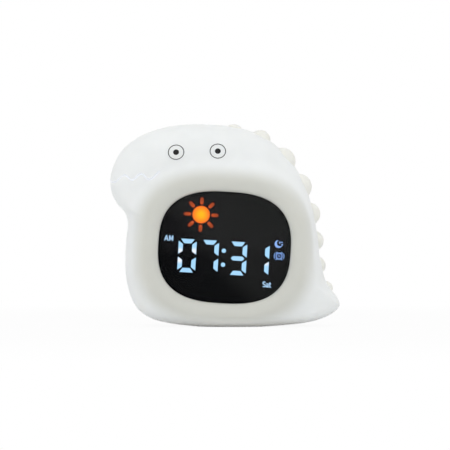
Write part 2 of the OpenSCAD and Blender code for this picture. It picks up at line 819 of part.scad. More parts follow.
module display_board() color([0.05, 0.3, 0.16]) on_core() {
    slab(-board_front, -board_back) difference() {
        union() {
            oval(open_a - board_inset, open_b - board_inset);
            for (a = board_boss_angles) {
                hull() {
                    translate(ring_xz(a)) circle(r = board_ear_r, $fn = 32);
                    translate(ring_xz(a) * 0.9) circle(r = board_ear_r, $fn = 32);
                }
            }
        }
        for (a = board_boss_angles) translate(ring_xz(a)) circle(r = small_screw_r + screw_clear, $fn = 32);
    }
}
led_t = 0.8;
led_l = 2;
led_w = 1.2;
sun_led_w = 1.6;
module led(w, h) {
    block(w, h, -board_front - led_t, -board_front);
}
module segment_leds() color([0.9, 0.93, 1]) on_core() {
    x = digit_w - segment_w;
    z = (digit_h - segment_w) / 2;
    for (dx = digit_x) {
        for (k = [-1, 0, 1]) at_xz([dx, digit_z + k * z]) led(led_l, led_w);
        for (s = [-1, 1], k = [-0.5, 0.5]) at_xz([dx + s * x / 2, digit_z + k * z]) led(led_w, led_l);
    }
    for (k = colon_z) at_xz([colon_x, digit_z + k]) led(led_w, led_w);
}
module sun_leds() color([1, 0.75, 0.3]) on_core() {
    at_xz(sun_xz) {
        for (x = [-1, 1], z = [-1, 1]) at_xz([x, z] * sun_d / 5) led(sun_led_w, sun_led_w);
        for (k = [0 : ray_count - 1]) {
            turn = 360 / ray_count * k;
            at_xz((ray_in + ray_out) / 2 * [cos(turn), sin(turn)]) led(led_w, led_w);
        }
    }
}
module icon_leds() color([0.8, 0.85, 1]) on_core() {
    for (p = icon_xz) at_xz(p) led(led_l, led_w);
}
driver_xz = [14, 20];
driver = [10, 6, 1.5];
module display_driver() color([0.12, 0.12, 0.12]) on_core() {
    at_xz(driver_xz) block(driver[0], driver[1], -board_back, -board_back + driver[2]);
}
module display_board_screws() color([0.7, 0.7, 0.72]) on_core() {
    at_board_bosses() {
        rod(small_head_r, -board_back, -board_back + head_h);
        rod(small_screw_r, -board_front - small_reach, -board_back + root);
    }
}

// ---------------------------------------------------------------- battery

tape_inset = 6;
battery_front = -board_back + battery_tape_t;
battery_corner = 3;
module battery_tape() color([0.2, 0.2, 0.22]) on_core() {
    at_xz([battery_x, battery_z])
        block(battery_l - 2 * tape_inset, battery_h - 2 * tape_inset, -board_back, battery_front);
}
module battery() color([0.75, 0.77, 0.8]) on_core() {
    at_xz([battery_x, battery_z]) slab(battery_front, battery_front + battery_t)
        rounded(battery_l, battery_h, battery_corner);
}

// ---------------------------------------------------------------- night light

lamp_count = 6;
lamp_ring = 5;
lamp_w = 3.5;
lamp_h = 1.4;
light_hole_r = 2;
light_board_gap = 0.4;
light_board_d = dome_d - 2 * (dome_wall + light_board_gap);
module night_light_board() color([0.92, 0.92, 0.9]) on_core() {
    translate([light_x, light_y, pedestal_top]) difference() {
        cylinder(h = board_t, d = light_board_d, $fn = 64);
        translate([0, 0, -cut]) cylinder(h = board_t + 2 * cut, r = light_hole_r, $fn = 32);
        for (a = light_screw_angles) rotate(a) translate([light_screw_ring, 0, -cut])
            cylinder(h = board_t + 2 * cut, r = small_screw_r + screw_clear, $fn = 32);
    }
}
module night_light_leds() color([1, 0.95, 0.75]) on_core() {
    translate([light_x, light_y, pedestal_top + board_t]) for (k = [0 : lamp_count - 1]) {
        rotate(360 / lamp_count * k) translate([lamp_ring, -lamp_w / 2, 0]) cube([lamp_w, lamp_w, lamp_h]);
    }
}
module light_board_screws() color([0.7, 0.7, 0.72]) on_core() {
    for (a = light_screw_angles) at_light(a) {
        translate([0, 0, pedestal_top + board_t]) cylinder(h = light_head_h, r = light_head_r, $fn = 32);
        translate([0, 0, pedestal_top - light_reach])
            cylinder(h = light_reach + board_t + root, r = small_screw_r, $fn = 32);
    }
}
function arch(r, h) = [for (k = [0 : 12]) [r * cos(7.5 * k), dome_side + (h - dome_side) * sin(7.5 * k)]];
module light_diffuser() color([0.97, 0.97, 0.95, 0.7]) on_core() {
    translate([light_x, light_y, pedestal_top]) rotate_extrude($fn = 64) polygon(concat(
        [[dome_d / 2 - dome_wall, 0], [dome_d / 2, 0]],
        arch(dome_d / 2, dome_h),
        [for (k = [12 : -1 : 0]) arch(dome_d / 2 - dome_wall, dome_h - dome_wall)[k]]));
}

// ---------------------------------------------------------------- main board

main_z = (main_board_top + main_board_bottom) / 2;
module main_board() color([0.05, 0.3, 0.16]) on_core() {
    slab(main_front, main_rear) difference() {
        translate([0, main_z]) rounded(main_board_w, main_board_top - main_board_bottom, 2);
        for (p = main_boss_xz) translate(p) circle(r = small_screw_r + screw_clear, $fn = 32);
    }
}
module main_board_screws() color([0.7, 0.7, 0.72]) on_core() {
    at_main_bosses() {
        rod(small_head_r, main_front - head_h, main_front);
        rod(small_screw_r, main_front - root, panel_in - main_screw_end);
    }
}
// Chips: x, z, width, height and thickness
chips = [[-2, -19, 11, 7.6, 1.6], [12, -24, 6, 5, 1.4], [-14, -17, 5, 4, 1.2]];
module board_chips() color([0.1, 0.1, 0.1]) on_core() {
    for (c = chips) at_xz([c[0], c[1]]) block(c[2], c[3], main_front - c[4], main_front);
}
crystal = [10, 4.2, 3.5];
crystal_xz = [-2, -28];
module clock_crystal() color([0.8, 0.8, 0.82]) on_core() {
    at_xz(crystal_xz) slab(main_front - crystal[2], main_front) pill(crystal[0], crystal[1]);
}
capacitor_r = 3.1;
capacitor_l = 7;
capacitor_xz = [13, -14];
module filter_capacitor() color([0.25, 0.27, 0.35]) on_core() {
    at_xz(capacitor_xz) rod(capacitor_r, main_front - capacitor_l, main_front);
}
sensor_r = 2.4;
sensor_l = 10;
sensor_xz = [-15, -23];
module tap_sensor() color([0.25, 0.25, 0.28]) on_core() {
    at_xz(sensor_xz) translate([-sensor_l / 2, main_front - sensor_r - 0.1, 0]) rotate([0, 90, 0])
        cylinder(h = sensor_l, r = sensor_r, $fn = 32);
}
connector_x = [-14, 0, 12];
connector_z = -6;
connector_w = 6.4;
connector_h = 5;
connector_t = 4.4;
module wire_connectors() color([0.93, 0.92, 0.86]) on_core() {
    for (x = connector_x) {
        at_xz([x, connector_z]) block(connector_w, connector_h, main_front - connector_t, main_front);
    }
}
cable_x = 24.5;
cable_z0 = -2;
cable_z1 = -17;
socket_w = 6;
socket_h = 3.4;
socket_t = 2;
cable_w = 5;
module cable_sockets() color([0.9, 0.9, 0.86]) on_core() {
    at_xz([cable_x, cable_z0]) block(socket_w, socket_h, -board_back, -board_back + socket_t);
    at_xz([cable_x, cable_z1]) block(socket_w, socket_h, main_front - socket_t, main_front);
}

// ---------------------------------------------------------------- wires

cable_path = open_spline([[-board_back + socket_t, cable_z0], [-14, cable_z0 - 0.5], [-6, cable_z0 + 3],
    [4, cable_z0 - 1], [10, cable_z1 - 4], [14, cable_z1 - 0.5], [main_front - socket_t, cable_z1]], 4);
cable_t = 0.4;
function path_side(path, i) =
    let (t = unit(path[min(len(path) - 1, i + 1)] - path[max(0, i - 1)])) [-t[1], t[0]];
function end_side(path, i) = i == 0 || i == len(path) - 1 ? [0, 1] : path_side(path, i);
module display_cable() color([0.9, 0.9, 0.92]) on_core() {
    n = len(cable_path);
    translate([cable_x - cable_w / 2, 0, 0]) rotate([90, 0, 90]) linear_extrude(cable_w) polygon(concat(
        [for (i = [0 : n - 1]) cable_path[i] + end_side(cable_path, i) * cable_t / 2],
        [for (i = [n - 1 : -1 : 0]) cable_path[i] - end_side(cable_path, i) * cable_t / 2]));
}

wire_sides = 8;
module wire(points, d) {
    path = open_spline(points, 2);
    n = len(path);
    ends = [for (i = [0 : n - 1])
        let (
            last = len(points) - 1,
            t = unit(i == 0 ? points[1] - points[0]
                : i == n - 1 ? points[last] - points[last - 1]
                : path[i + 1] - path[i - 1]),
            u = unit(cross(t, [1, 0, 0])),
            v = cross(t, u))
        each [for (k = [0 : wire_sides - 1])
            path[i] + d / 2 * (u * cos(360 * k / wire_sides) + v * sin(360 * k / wire_sides))]];
    faces = concat(
        [[for (k = [0 : wire_sides - 1]) k]],
        [for (i = [0 : n - 2], k = [0 : wire_sides - 1])
            let (
                a = i * wire_sides + k,
                b = i * wire_sides + (k + 1) % wire_sides)
            each [[a, a + wire_sides, b], [b, a + wire_sides, b + wire_sides]]],
        [[for (k = [wire_sides - 1 : -1 : 0]) (n - 1) * wire_sides + k]]);
    polyhedron(points = ends, faces = faces, convexity = 6);
}
wire_d = 1.3;
wire_pitch = 2;
plug_y = main_front - connector_t / 2;
plug_z = connector_z + connector_h / 2;
battery_top = battery_z + battery_h / 2;
battery_mid = battery_front + battery_t / 2;
speaker_low = speaker_xz[1] - speaker_r + 1;
module battery_wires() color([0.75, 0.1, 0.1]) on_core() {
    for (s = [-0.5, 0.5]) translate([s * wire_pitch, 0, 0]) wire([[-16, battery_mid, battery_top],
        [-16, battery_mid, battery_top + 3], [-16, battery_mid + 8, battery_top + 6],
        [-15, 4, battery_top], [-14, plug_y - 3, 2.5], [-14, plug_y, 0], [-14, plug_y, plug_z]], wire_d);
}
module speaker_wires() color([0.1, 0.1, 0.1]) on_core() {
    for (s = [-0.5, 0.5]) translate([s * wire_pitch, 0, 0]) wire([[0, rim_front, speaker_low],
        [0, rim_front - 1.5, speaker_low], [0, main_rear - 1, 2.2],
        [0, plug_y + 1, 1], [0, plug_y, -1.5], [0, plug_y, plug_z]], wire_d);
}
module light_wires() color([0.85, 0.8, 0.2]) on_core() {
    for (s = [-0.5, 0.5]) translate([s * wire_pitch, 0, 0]) wire([[light_x, light_y, pedestal_top],
        [light_x, light_y, core_b - 6], [light_x + 1, light_y + 1, core_b - 14], [6, 10, 14],
        [11, plug_y - 2, 4], [12, plug_y, 0], [12, plug_y, plug_z]], wire_d);
}

// ---------------------------------------------------------------- buttons

tact_w = 6;
tact_h = 3.5;
tact_top = main_rear + tact_h;
plunger_r = 1.7;
plunger_gap = 0.1;
plunger_top = tact_top + 0.4 + button_travel;
plunger_in = 1.9;
stem_r = 1.5;
flange_w = 1.1;
flange_t = 1.4;
flange_y = panel_in - 0.4;
module tact_switches() color([0.15, 0.15, 0.16]) on_core() {
    for (c = [-1 : 1], r = [0, 1]) at_xz(button_xz(c, r)) difference() {
        block(tact_w, tact_w, main_rear, tact_top);
        rod(plunger_r + plunger_gap, tact_top - plunger_in - button_travel - plunger_gap, tact_top + cut);
    }
}
// Rounded rim of a button, as distances in from its side and down from its top, and the dish in its top
button_crown = [[0, 0.6], [0.2, 0.25], [0.7, 0.05], [1.6, 0]];
button_dish = 0.15;
module button(c, r) {
    on_core() at_xz(button_xz(c, r)) translate([0, plunger_top, 0]) rotate([-90, 0, 0])
        rotate_extrude($fn = 48)
        let (
            h0 = flange_y - flange_t - plunger_top,
            h1 = flange_y - plunger_top,
            h2 = panel_y + button_proud - plunger_top,
            rb = button_d / 2)
        polygon(concat(
            [[0, 0], [stem_r, 0], [stem_r, h0], [rb + flange_w, h0], [rb + flange_w, h1], [rb, h1]],
            [for (p = button_crown) [rb - p[0], h2 - p[1]]],
            [[0, h2 - button_dish]]));
}
module plunger(c, r) {
    on_core() at_xz(button_xz(c, r)) rod(plunger_r, tact_top - plunger_in, plunger_top);
}
module set_button() color([0.9, 0.9, 0.87]) button(-1, 0);
module alarm_button() color([0.9, 0.9, 0.87]) button(0, 0);
module sound_button() color([0.9, 0.9, 0.87]) button(1, 0);
module light_button() color([0.9, 0.9, 0.87]) button(0, 1);
module minus_button() color([0.9, 0.9, 0.87]) button(1, 1);
module plus_button() color([0.9, 0.9, 0.87]) button(-1, 1);
module set_plunger() color([0.1, 0.1, 0.1]) plunger(-1, 0);
module alarm_plunger() color([0.1, 0.1, 0.1]) plunger(0, 0);
module sound_plunger() color([0.1, 0.1, 0.1]) plunger(1, 0);
module light_plunger() color([0.1, 0.1, 0.1]) plunger(0, 1);
module minus_plunger() color([0.1, 0.1, 0.1]) plunger(1, 1);
module plus_plunger() color([0.1, 0.1, 0.1]) plunger(-1, 1);

// ---------------------------------------------------------------- switch and port

switch_w = 8.6;
switch_h = 3.8;
switch_d = 3.6;
switch_top = main_rear + switch_d;
knob_in = 1.5;
knob_proud = 0.8;
knob_gap = 0.2;
module power_switch_body() color([0.75, 0.75, 0.76]) on_core() {
    at_xz(switch_xz) difference() {
        block(switch_w, switch_h, main_rear, switch_top);
        block(knob_w + switch_travel + 2 * knob_gap, knob_h + 2 * knob_gap,
            switch_top - knob_in - knob_gap / 2, switch_top + cut);
    }
}
module power_switch_knob() color([0.12, 0.12, 0.12]) on_core() {
    at_xz(switch_xz - [switch_travel / 2, 0])
        block(knob_w, knob_h, switch_top - knob_in, panel_y + knob_proud);
}
port_wall = 0.3;
port_face = panel_y - 0.4;
port_plug_t = 1.6;
port_gap = 0.05;
tongue_set_back = 0.6;
tongue_w = 6.7;
tongue_d = 0.7;
module usb_port_shell() color([0.75, 0.75, 0.77]) on_core() {
    at_xz(port_xz) slab(main_rear, port_face) difference() {
        pill(port_w, port_h);
        pill(port_w - 2 * port_wall, port_h - 2 * port_wall);
    }
}
module usb_port_tongue() color([0.08, 0.08, 0.08]) on_core() {
    at_xz(port_xz) {
        slab(main_rear, main_rear + port_plug_t)
            pill(port_w - 2 * (port_wall + port_gap), port_h - 2 * (port_wall + port_gap));
        block(tongue_w, tongue_d, main_rear + port_plug_t / 2, port_face - tongue_set_back);
    }
}

// ---------------------------------------------------------------- speaker

rim_w = 1.6;
cone_gap = 0.4;
basket_t = 0.8;
pole_gap = 0.9;
groove_out = 0.5;
groove_in = 0.7;
yoke_t = 1;
roll_w = 1.2;
cone_t = 0.3;
cone_neck = -1.6;
coil_in = 0.25;
coil_out = 0.1;
coil_bond = 0.05;
coil_reach = 2;
module speaker_gasket() color([0.15, 0.15, 0.16]) on_core() {
    at_xz(speaker_xz) difference() {
        rod(speaker_r, rim_rear, panel_in);
        rod(speaker_r - rim_w, rim_rear - cut, panel_in + cut);
    }
}
// Solid of revolution about the speaker's axis, its profile drawn as radius and depth
module turned(profile) {
    on_core() at_xz(speaker_xz) rotate([-90, 0, 0]) rotate_extrude($fn = 64) polygon(profile);
}
module speaker_frame() color([0.55, 0.56, 0.58]) {
    turned([[speaker_r - rim_w - cone_gap, rim_rear], [speaker_r, rim_rear], [speaker_r, rim_front],
        [speaker_r - rim_w, rim_front], [magnet_r + basket_t - cone_gap / 2, magnet_rear],
        [coil_r + pole_gap, magnet_rear], [coil_r + pole_gap, magnet_rear + basket_t],
        [magnet_r + cone_gap / 2, magnet_rear + basket_t], [speaker_r - rim_w - cone_gap, rim_front]]);
}
module speaker_magnet() color([0.3, 0.3, 0.32]) {
    turned([[0, magnet_front], [magnet_r, magnet_front], [magnet_r, magnet_rear],
        [coil_r + groove_out, magnet_rear], [coil_r + groove_out, magnet_front + yoke_t],
        [coil_r - groove_in, magnet_front + yoke_t], [coil_r - groove_in, magnet_rear], [0, magnet_rear]]);
}
cone_edge = speaker_r - rim_w - cone_gap - 0.3;
// Front face of the cone as radius and depth from the rim: dome, neck, roll of the surround, edge
cone_line = [[0, -0.6], [coil_r, cone_neck], [cone_edge - 2 * roll_w, 0.3], [cone_edge - roll_w, 0.7],
    [cone_edge, 0.5]];
module speaker_cone() color([0.2, 0.18, 0.16]) {
    turned([for (p = concat(cone_line, [for (k = [len(cone_line) - 1 : -1 : 0]) cone_line[k] + [0, cone_t]]))
        [p[0], rim_front + p[1]]]);
}
module voice_coil() color([0.75, 0.45, 0.2]) {
    turned([[coil_r - coil_in, rim_front + cone_neck - coil_bond],
        [coil_r + coil_out, rim_front + cone_neck - coil_bond],
        [coil_r + coil_out, magnet_front + coil_reach], [coil_r - coil_in, magnet_front + coil_reach]]);
}
module speaker_screws() color([0.7, 0.7, 0.72]) on_core() {
    at_speaker_posts() {
        rod(speaker_head_r, rim_front - head_h, rim_front);
        rod(small_screw_r, rim_front - root, panel_in - speaker_screw_end);
    }
}

silicone_cover();
eye_rings();
eye_pupils();
front_housing();
rear_housing();
case_screws();
display_window();
window_adhesive();
display_mask();
display_reflector();
display_board();
segment_leds();
sun_leds();
icon_leds();
display_driver();
display_board_screws();
battery_tape();
battery();
night_light_board();
night_light_leds();
light_board_screws();
light_diffuser();
main_board();
board_chips();
clock_crystal();
filter_capacitor();
tap_sensor();
wire_connectors();
cable_sockets();
main_board_screws();
display_cable();
battery_wires();
speaker_wires();
light_wires();
tact_switches();
set_button();
alarm_button();
sound_button();
light_button();
minus_button();
plus_button();
set_plunger();
alarm_plunger();
sound_plunger();
light_plunger();
minus_plunger();
plus_plunger();
power_switch_body();
power_switch_knob();
usb_port_shell();
usb_port_tongue();
speaker_gasket();
speaker_frame();
speaker_magnet();
speaker_cone();
voice_coil();
speaker_screws();
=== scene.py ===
"""Looks of a children's alarm clock and night light with a soft silicone cover.

Sizes are in millimetres, named as in the part's source, and become metres where a mesh is made.
X runs to the right seen from the front, the display faces -Y and Z is up.
"""
import json
import math

import bmesh
import bpy
import numpy as np
from mathutils import Matrix, Vector
from mathutils.bvhtree import BVHTree


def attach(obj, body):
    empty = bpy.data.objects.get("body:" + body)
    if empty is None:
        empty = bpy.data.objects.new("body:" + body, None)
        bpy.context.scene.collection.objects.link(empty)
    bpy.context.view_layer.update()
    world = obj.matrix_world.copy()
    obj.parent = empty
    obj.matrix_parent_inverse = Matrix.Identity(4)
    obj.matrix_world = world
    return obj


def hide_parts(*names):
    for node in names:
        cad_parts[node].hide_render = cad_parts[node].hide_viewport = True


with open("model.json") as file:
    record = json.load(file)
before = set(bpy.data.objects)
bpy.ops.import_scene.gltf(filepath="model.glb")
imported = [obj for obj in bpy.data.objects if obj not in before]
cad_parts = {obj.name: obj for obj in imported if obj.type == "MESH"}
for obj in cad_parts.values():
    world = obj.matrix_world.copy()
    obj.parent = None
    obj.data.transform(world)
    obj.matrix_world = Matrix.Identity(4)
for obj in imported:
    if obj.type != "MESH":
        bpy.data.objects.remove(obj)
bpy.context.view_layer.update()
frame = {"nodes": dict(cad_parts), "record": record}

MM = 0.001

# ------------------------------------------------------------------ sizes, as in the part's source

BODY_D = 76
WALL = 2.4
LIP_DROP = 4
LIP_W = 2.2
RING_CREST = 8
RING_BLEND = 17
HEAD_SET_BACK = 7
HEAD_LEAN = 0.1
# Height above which the head leans, and share of that lean at the back
HEAD_FOOT = 95
BACK_LEAN = 0.6
TAIL_SET_BACK = 12
# The tail draws in from here, over its length and its drop
TAIL_X = 50
TAIL_L = 22
TAIL_Z = 60
TAIL_DROP = 35
# Rounding of the edge and its squareness, each by height on the outline
EDGE_ROUND = ([2, 24, 70, 96, 131], [9, 17, 17, 26, 26])
EDGE_POWER = ([2, 24, 70, 96], [3.2, 2.4, 2.4, 2.1])
# Least room between the rounded edge and the lip
FACE_LEAST = 3
RIDGE_SPREAD = 2
MOUTH_W = 1.15
# Light that the thin wall under the mouth's groove lets through
GROOVE_GLOW = 0.07

EYE_D = 10.5
EYE_LINE = 0.5
PUPIL_D = 3.8

DISPLAY_W = 85.2
DISPLAY_H = 71.8
OVAL_POWER = 2.7
UNIT_ROLL = math.radians(3.3)
DISPLAY_X = -0.3
DISPLAY_Z = 51.4
WINDOW_TUCK = 1.6
LEDGE_W = 3
# How much further the dressed film reaches than the CAD's, almost to the tape around it
FILM_LAP = 0.19
DIGIT_W = 11.6
DIGIT_H = 21.5
SEGMENT_W = 2.8
SEGMENT_GAP = 0.9
SEGMENT_CORNER = 1.45
SEGMENT_SLANT = 0.7
SUN_D = 11.2
SUN_XZ = (-16.2, 20.3)
RAY_IN = 6.5
RAY_OUT = 11.2
RAY_W = 2.2
DIGIT_X = (-23.8, -9.4, 8.8, 23.3)
DIGIT_Z = -6.6
COLON_X = -0.3
COLON_Z = (4.5, -4.5)
COLON_D = 2.8
HALF_DAY_XZ = (-36.1, 4.1)
MOON_XZ = (35.2, 4.2)
ALARM_XZ = (35.4, -3.5)
WEEKDAY_XZ = (28.7, -22.2)

# Places where a lamp shows through as a white spot, and the reach of each
HOT_SPOTS = [(-28.3, -3.6, 2.6), (-19.4, -3.4, 3), (-28.5, -9.8, 3), (27.6, -8.6, 2.4)]

PANEL_W = 84
PANEL_H = 68
SOFT_GAP = 0.3
LIP_T = 1.2
WINDOW_T = 2
TAPE_T = 0.2
SHOULDER_DROP = 1.8
PANEL_RISE = 2.4

CREST_Y = BODY_D / 2
LIP_BACK = CREST_Y - LIP_DROP - LIP_T
WINDOW_FRONT = LIP_BACK - SOFT_GAP
WINDOW_BACK = WINDOW_FRONT - WINDOW_T
MASK_BACK = WINDOW_BACK - TAPE_T
SHOULDER_Y = LIP_BACK - SHOULDER_DROP
PANEL_Y = SHOULDER_Y + PANEL_RISE

# Outline of the body seen from the front, anticlockwise from the top
OUTLINE_XZ = [
    (-17, 131.6), (-31, 131), (-44.7, 128.2), (-57, 123), (-66.5, 115.5), (-72.3, 106),
    (-74.9, 96.5), (-74, 87.5), (-70.4, 80), (-65.2, 73.8), (-63.4, 66.5), (-64.5, 56),
    (-65, 44.4), (-64.6, 32), (-62, 21), (-57, 11.5), (-48, 5.2), (-37, 2.2),
    (-24, 0.5), (-10, -0.6), (6, -0.8), (22, -0.4), (38, 0.8), (50, 2), (61, 4.3),
    (70, 8.2), (74.8, 13.2), (73.5, 18.6), (67.9, 26), (64.8, 32.5), (63.2, 40.1),
    (61.6, 47.6), (60.8, 56), (59.4, 64.5), (57.8, 73.7), (55.3, 83), (51.9, 92.5),
    (46.9, 102), (40.6, 110.4), (32.8, 118.4), (24.5, 123.9), (15, 127.8), (6.5, 129.9), (-4, 131.1)]
# Bumps of the ridge: place in the outline, radius, height above the body
RIDGE = [(42, 6.1, 1.9), (40, 6.9, 3.7), (38, 8.8, 4.5), (36, 8.6, 4.5),
         (34, 7.6, 4.4), (32, 6.6, 3.7), (30, 5.9, 2.6), (28, 4.6, 2.2)]
MOUTH_XZ = [(-76, 95), (-71.3, 93.8), (-65, 98), (-59.7, 94.9), (-54, 99), (-48.5, 95.2), (-42, 100.5)]
EYE_XZ = [(-31.5, 112.8), (-4.6, 113.5)]

# Stations between two outline points, and steps over the ring, in shares of it, and the flank
OUTLINE_SUB = 6
LIP_STEPS = (0, 0.03, 0.08, 0.17, 0.3, 0.45, 0.62, 0.8, 1)
FLANK_STEPS = 22
FLANK_POWER = 1.5

# ------------------------------------------------------------------ small helpers


def superellipse(a, b, angle):
    """Reach of the oval from its centre at an angle."""
    across, up = abs(np.cos(angle)) / a, abs(np.sin(angle)) / b
    return 1 / (across ** OVAL_POWER + up ** OVAL_POWER) ** (1 / OVAL_POWER)


def oval_points(a, b, steps):
    angles = np.linspace(0, math.tau, steps, endpoint=False)
    radii = superellipse(a, b, angles)
    return [(r * math.cos(t), r * math.sin(t)) for r, t in zip(radii, angles)]


def circle_points(centre, radius, steps):
    turns = [math.tau * k / steps for k in range(steps)]
    return [(centre[0] + radius * math.cos(t), centre[1] + radius * math.sin(t)) for t in turns]


def smooth(t):
    u = np.clip(t, 0, 1)
    return u * u * (3 - 2 * u)


def spline(a, b, c, d, t):
    """Catmull-Rom curve from b to c."""
    second, third = 2 * a - 5 * b + 4 * c - d, 3 * b - a - 3 * c + d
    return 0.5 * (2 * b + (c - a) * t + second * t ** 2 + third * t ** 3)


def closed_spline(points, sub):
    p = np.array(points, float)
    n = len(p)
    return np.array([spline(p[i - 1], p[i], p[(i + 1) % n], p[(i + 2) % n], k / sub)
                     for i in range(n) for k in range(sub)])


def open_spline(points, sub):
    p = np.array(points, float)
    n = len(p)
    curve = [spline(p[max(0, i - 1)], p[i], p[i + 1], p[min(n - 1, i + 2)], k / sub)
             for i in range(n - 1) for k in range(sub)]
    return np.array(curve + [p[-1]])


def unit(v):
    return v / np.linalg.norm(v, axis=-1, keepdims=True)


def in_unit(x, y, z):
    """A place in the clock unit's own turned frame, as a place in the object's frame, in millimetres."""
    c, s = math.cos(UNIT_ROLL), math.sin(UNIT_ROLL)
    return (DISPLAY_X + x * c + z * s, y, DISPLAY_Z - x * s + z * c)


def piece(name, points, faces, material):
    """A mesh piece from points in millimetres."""
    mesh = bpy.data.meshes.new(name)
    mesh.from_pydata([tuple(MM * c for c in p) for p in points], [], [tuple(f) for f in faces])
    mesh.update()
    thing = bpy.data.objects.new(name, mesh)
    bpy.context.scene.collection.objects.link(thing)
    if material:
        mesh.materials.append(material)
    return thing


def soften(thing, degrees=35):
    """Smooth shading, with edges sharper than the angle left crisp."""
    thing.data.shade_smooth()
    thing.data.set_sharp_from_angle(angle=math.radians(degrees))


def apply_modifiers(thing):
    graph = bpy.context.evaluated_depsgraph_get()
    graph.update()
    finished = bpy.data.meshes.new_from_object(thing.evaluated_get(graph), preserve_all_data_layers=True,
                                               depsgraph=graph)
    thing.modifiers.clear()
    thing.data = finished


def built_piece(name, built, materials=()):
    """A piece made of a bmesh, which is used up."""
    mesh = bpy.data.meshes.new(name)
    built.to_mesh(mesh)
    built.free()
    for material in materials:
        mesh.materials.append(material)
    thing = bpy.data.objects.new(name, mesh)
    bpy.context.scene.collection.objects.link(thing)
    return thing


def join_pieces(name, things):
    """One piece made of several."""
    built = bmesh.new()
    for thing in things:
        built.from_mesh(thing.data)
    materials = list(things[0].data.materials)
    for thing in things:
        bpy.data.objects.remove(thing)
    return built_piece(name, built, materials)


def plate(name, outlines, y_front, y_back, material):
    """Flat plates in the clock unit's frame, each from an outline of x and z."""
    points, faces = [], []
    for outline in outlines:
        n, first = len(outline), len(points)
        for y in (y_front, y_back):
            points += [in_unit(x, y, z) for x, z in outline]
        faces.append([first + k for k in range(n)])
        faces.append([first + 2 * n - 1 - k for k in range(n)])
        faces += [[first + (k + 1) % n, first + k, first + n + k, first + n + (k + 1) % n] for k in range(n)]
    made = piece(name, points, faces, material)
    fix_normals(made)
    return made


def fix_normals(thing):
    built = bmesh.new()
    built.from_mesh(thing.data)
    bmesh.ops.recalc_face_normals(built, faces=built.faces)
    built.to_mesh(thing.data)
    built.free()


# ------------------------------------------------------------------ shader maths


class Number:
    """A number in a node tree. The usual operators add the Math node they stand for."""

    def __init__(self, finish, socket):
        self.finish = finish
        self.socket = socket

    def maths(self, operation, *others):
        sockets = dict(enumerate((self, *others)))
        return self.finish.number("ShaderNodeMath", {"operation": operation}, sockets)

    def __add__(self, other):
        return self.maths("ADD", other)

    def __sub__(self, other):
        return self.maths("SUBTRACT", other)

    def __rsub__(self, other):
        return self.finish.number("ShaderNodeMath", {"operation": "SUBTRACT"}, {0: other, 1: self})

    def __mul__(self, other):
        return self.maths("MULTIPLY", other)

    def __truediv__(self, other):
        return self.maths("DIVIDE", other)

    def __pow__(self, other):
        return self.maths("POWER", other)

    def __abs__(self):
        return self.maths("ABSOLUTE")

    def root(self):
        return self.maths("SQRT")

    def ramp(self, low, high):
        """0 below low, 1 above high and smooth between them. high may be the smaller one."""
        return self.finish.number(
            "ShaderNodeMapRange", {"interpolation_type": "SMOOTHSTEP"},
            {"Value": self, "From Min": low, "From Max": high})


class Finish:
    """A material for this object, built from nodes."""

    def __init__(self, name, **settings):
        self.material = bpy.data.materials.new(name)
        self.material.use_nodes = True
        self.tree = self.material.node_tree
        self.tree.nodes.clear()
        self.shader = self.node("ShaderNodeBsdfPrincipled")
        self.output = self.node("ShaderNodeOutputMaterial")
        self.tree.links.new(self.shader.outputs["BSDF"], self.output.inputs["Surface"])
        self.place = self.node("ShaderNodeTexCoord").outputs["Object"]
        for socket, value in settings.items():
            label = socket.replace("_", " ").title().replace("Ior", "IOR")
            self.shader.inputs[label].default_value = value

    def node(self, kind, settings=None, sockets=None):
        made = self.tree.nodes.new(kind)
        for key, value in (settings or {}).items():
            setattr(made, key, value)
        for key, value in (sockets or {}).items():
            if isinstance(value, Number):
                value = value.socket
            if isinstance(value, bpy.types.NodeSocket):
                self.tree.links.new(value, made.inputs[key])
            else:
                made.inputs[key].default_value = value
        return made

    def number(self, kind, settings=None, sockets=None, output=0):
        return Number(self, self.node(kind, settings, sockets).outputs[output])

    def axes(self):
        """The place in millimetres, as three numbers."""
        parts = self.node("ShaderNodeSeparateXYZ", None, {0: self.place})
        return [Number(self, socket) / MM for socket in parts.outputs]

    def unit_axes(self):
        """The place in the clock unit's turned frame, as x and z in millimetres."""
        x, _, z = self.axes()
        c, s = math.cos(UNIT_ROLL), math.sin(UNIT_ROLL)
        dx, dz = x - DISPLAY_X, z - DISPLAY_Z
        return dx * c - dz * s, dx * s + dz * c

    def noise(self, grain, detail=2, roughness=0.5):
        """Noise whose grain is about this many millimetres."""
        return self.number("ShaderNodeTexNoise", None, {
            "Vector": self.place, "Scale": 1 / (grain * MM), "Detail": detail, "Roughness": roughness})

    def cells(self, size):
        """Distance to the nearest of points that lie about this many millimetres apart."""
        return self.number("ShaderNodeTexVoronoi", None, {"Vector": self.place, "Scale": 1 / (size * MM)})

    def blend(self, factor, first, second):
        """Colour between two colours, each a tuple or a socket."""
        colors = [(*c, 1) if isinstance(c, tuple) else c for c in (first, second)]
        made = self.node("ShaderNodeMix", {"data_type": "RGBA"},
                         {"Factor": factor, 6: colors[0], 7: colors[1]})
        return made.outputs[2]

    def feed(self, socket, value):
        source = value.socket if isinstance(value, Number) else value
        self.tree.links.new(source, self.shader.inputs[socket])

    def dressed(self, color, roughness, height, depth):
        """The finished material, with its colour, roughness and relief."""
        self.feed("Base Color", color)
        self.feed("Roughness", roughness)
        self.bump(height, depth)
        return self.material

    def bump(self, height, depth):
        """Relief of this depth in millimetres where height goes from 0 to 1."""
        made = self.node("ShaderNodeBump", None, {"Height": height, "Distance": depth * MM})
        self.feed("Normal", made.outputs["Normal"])


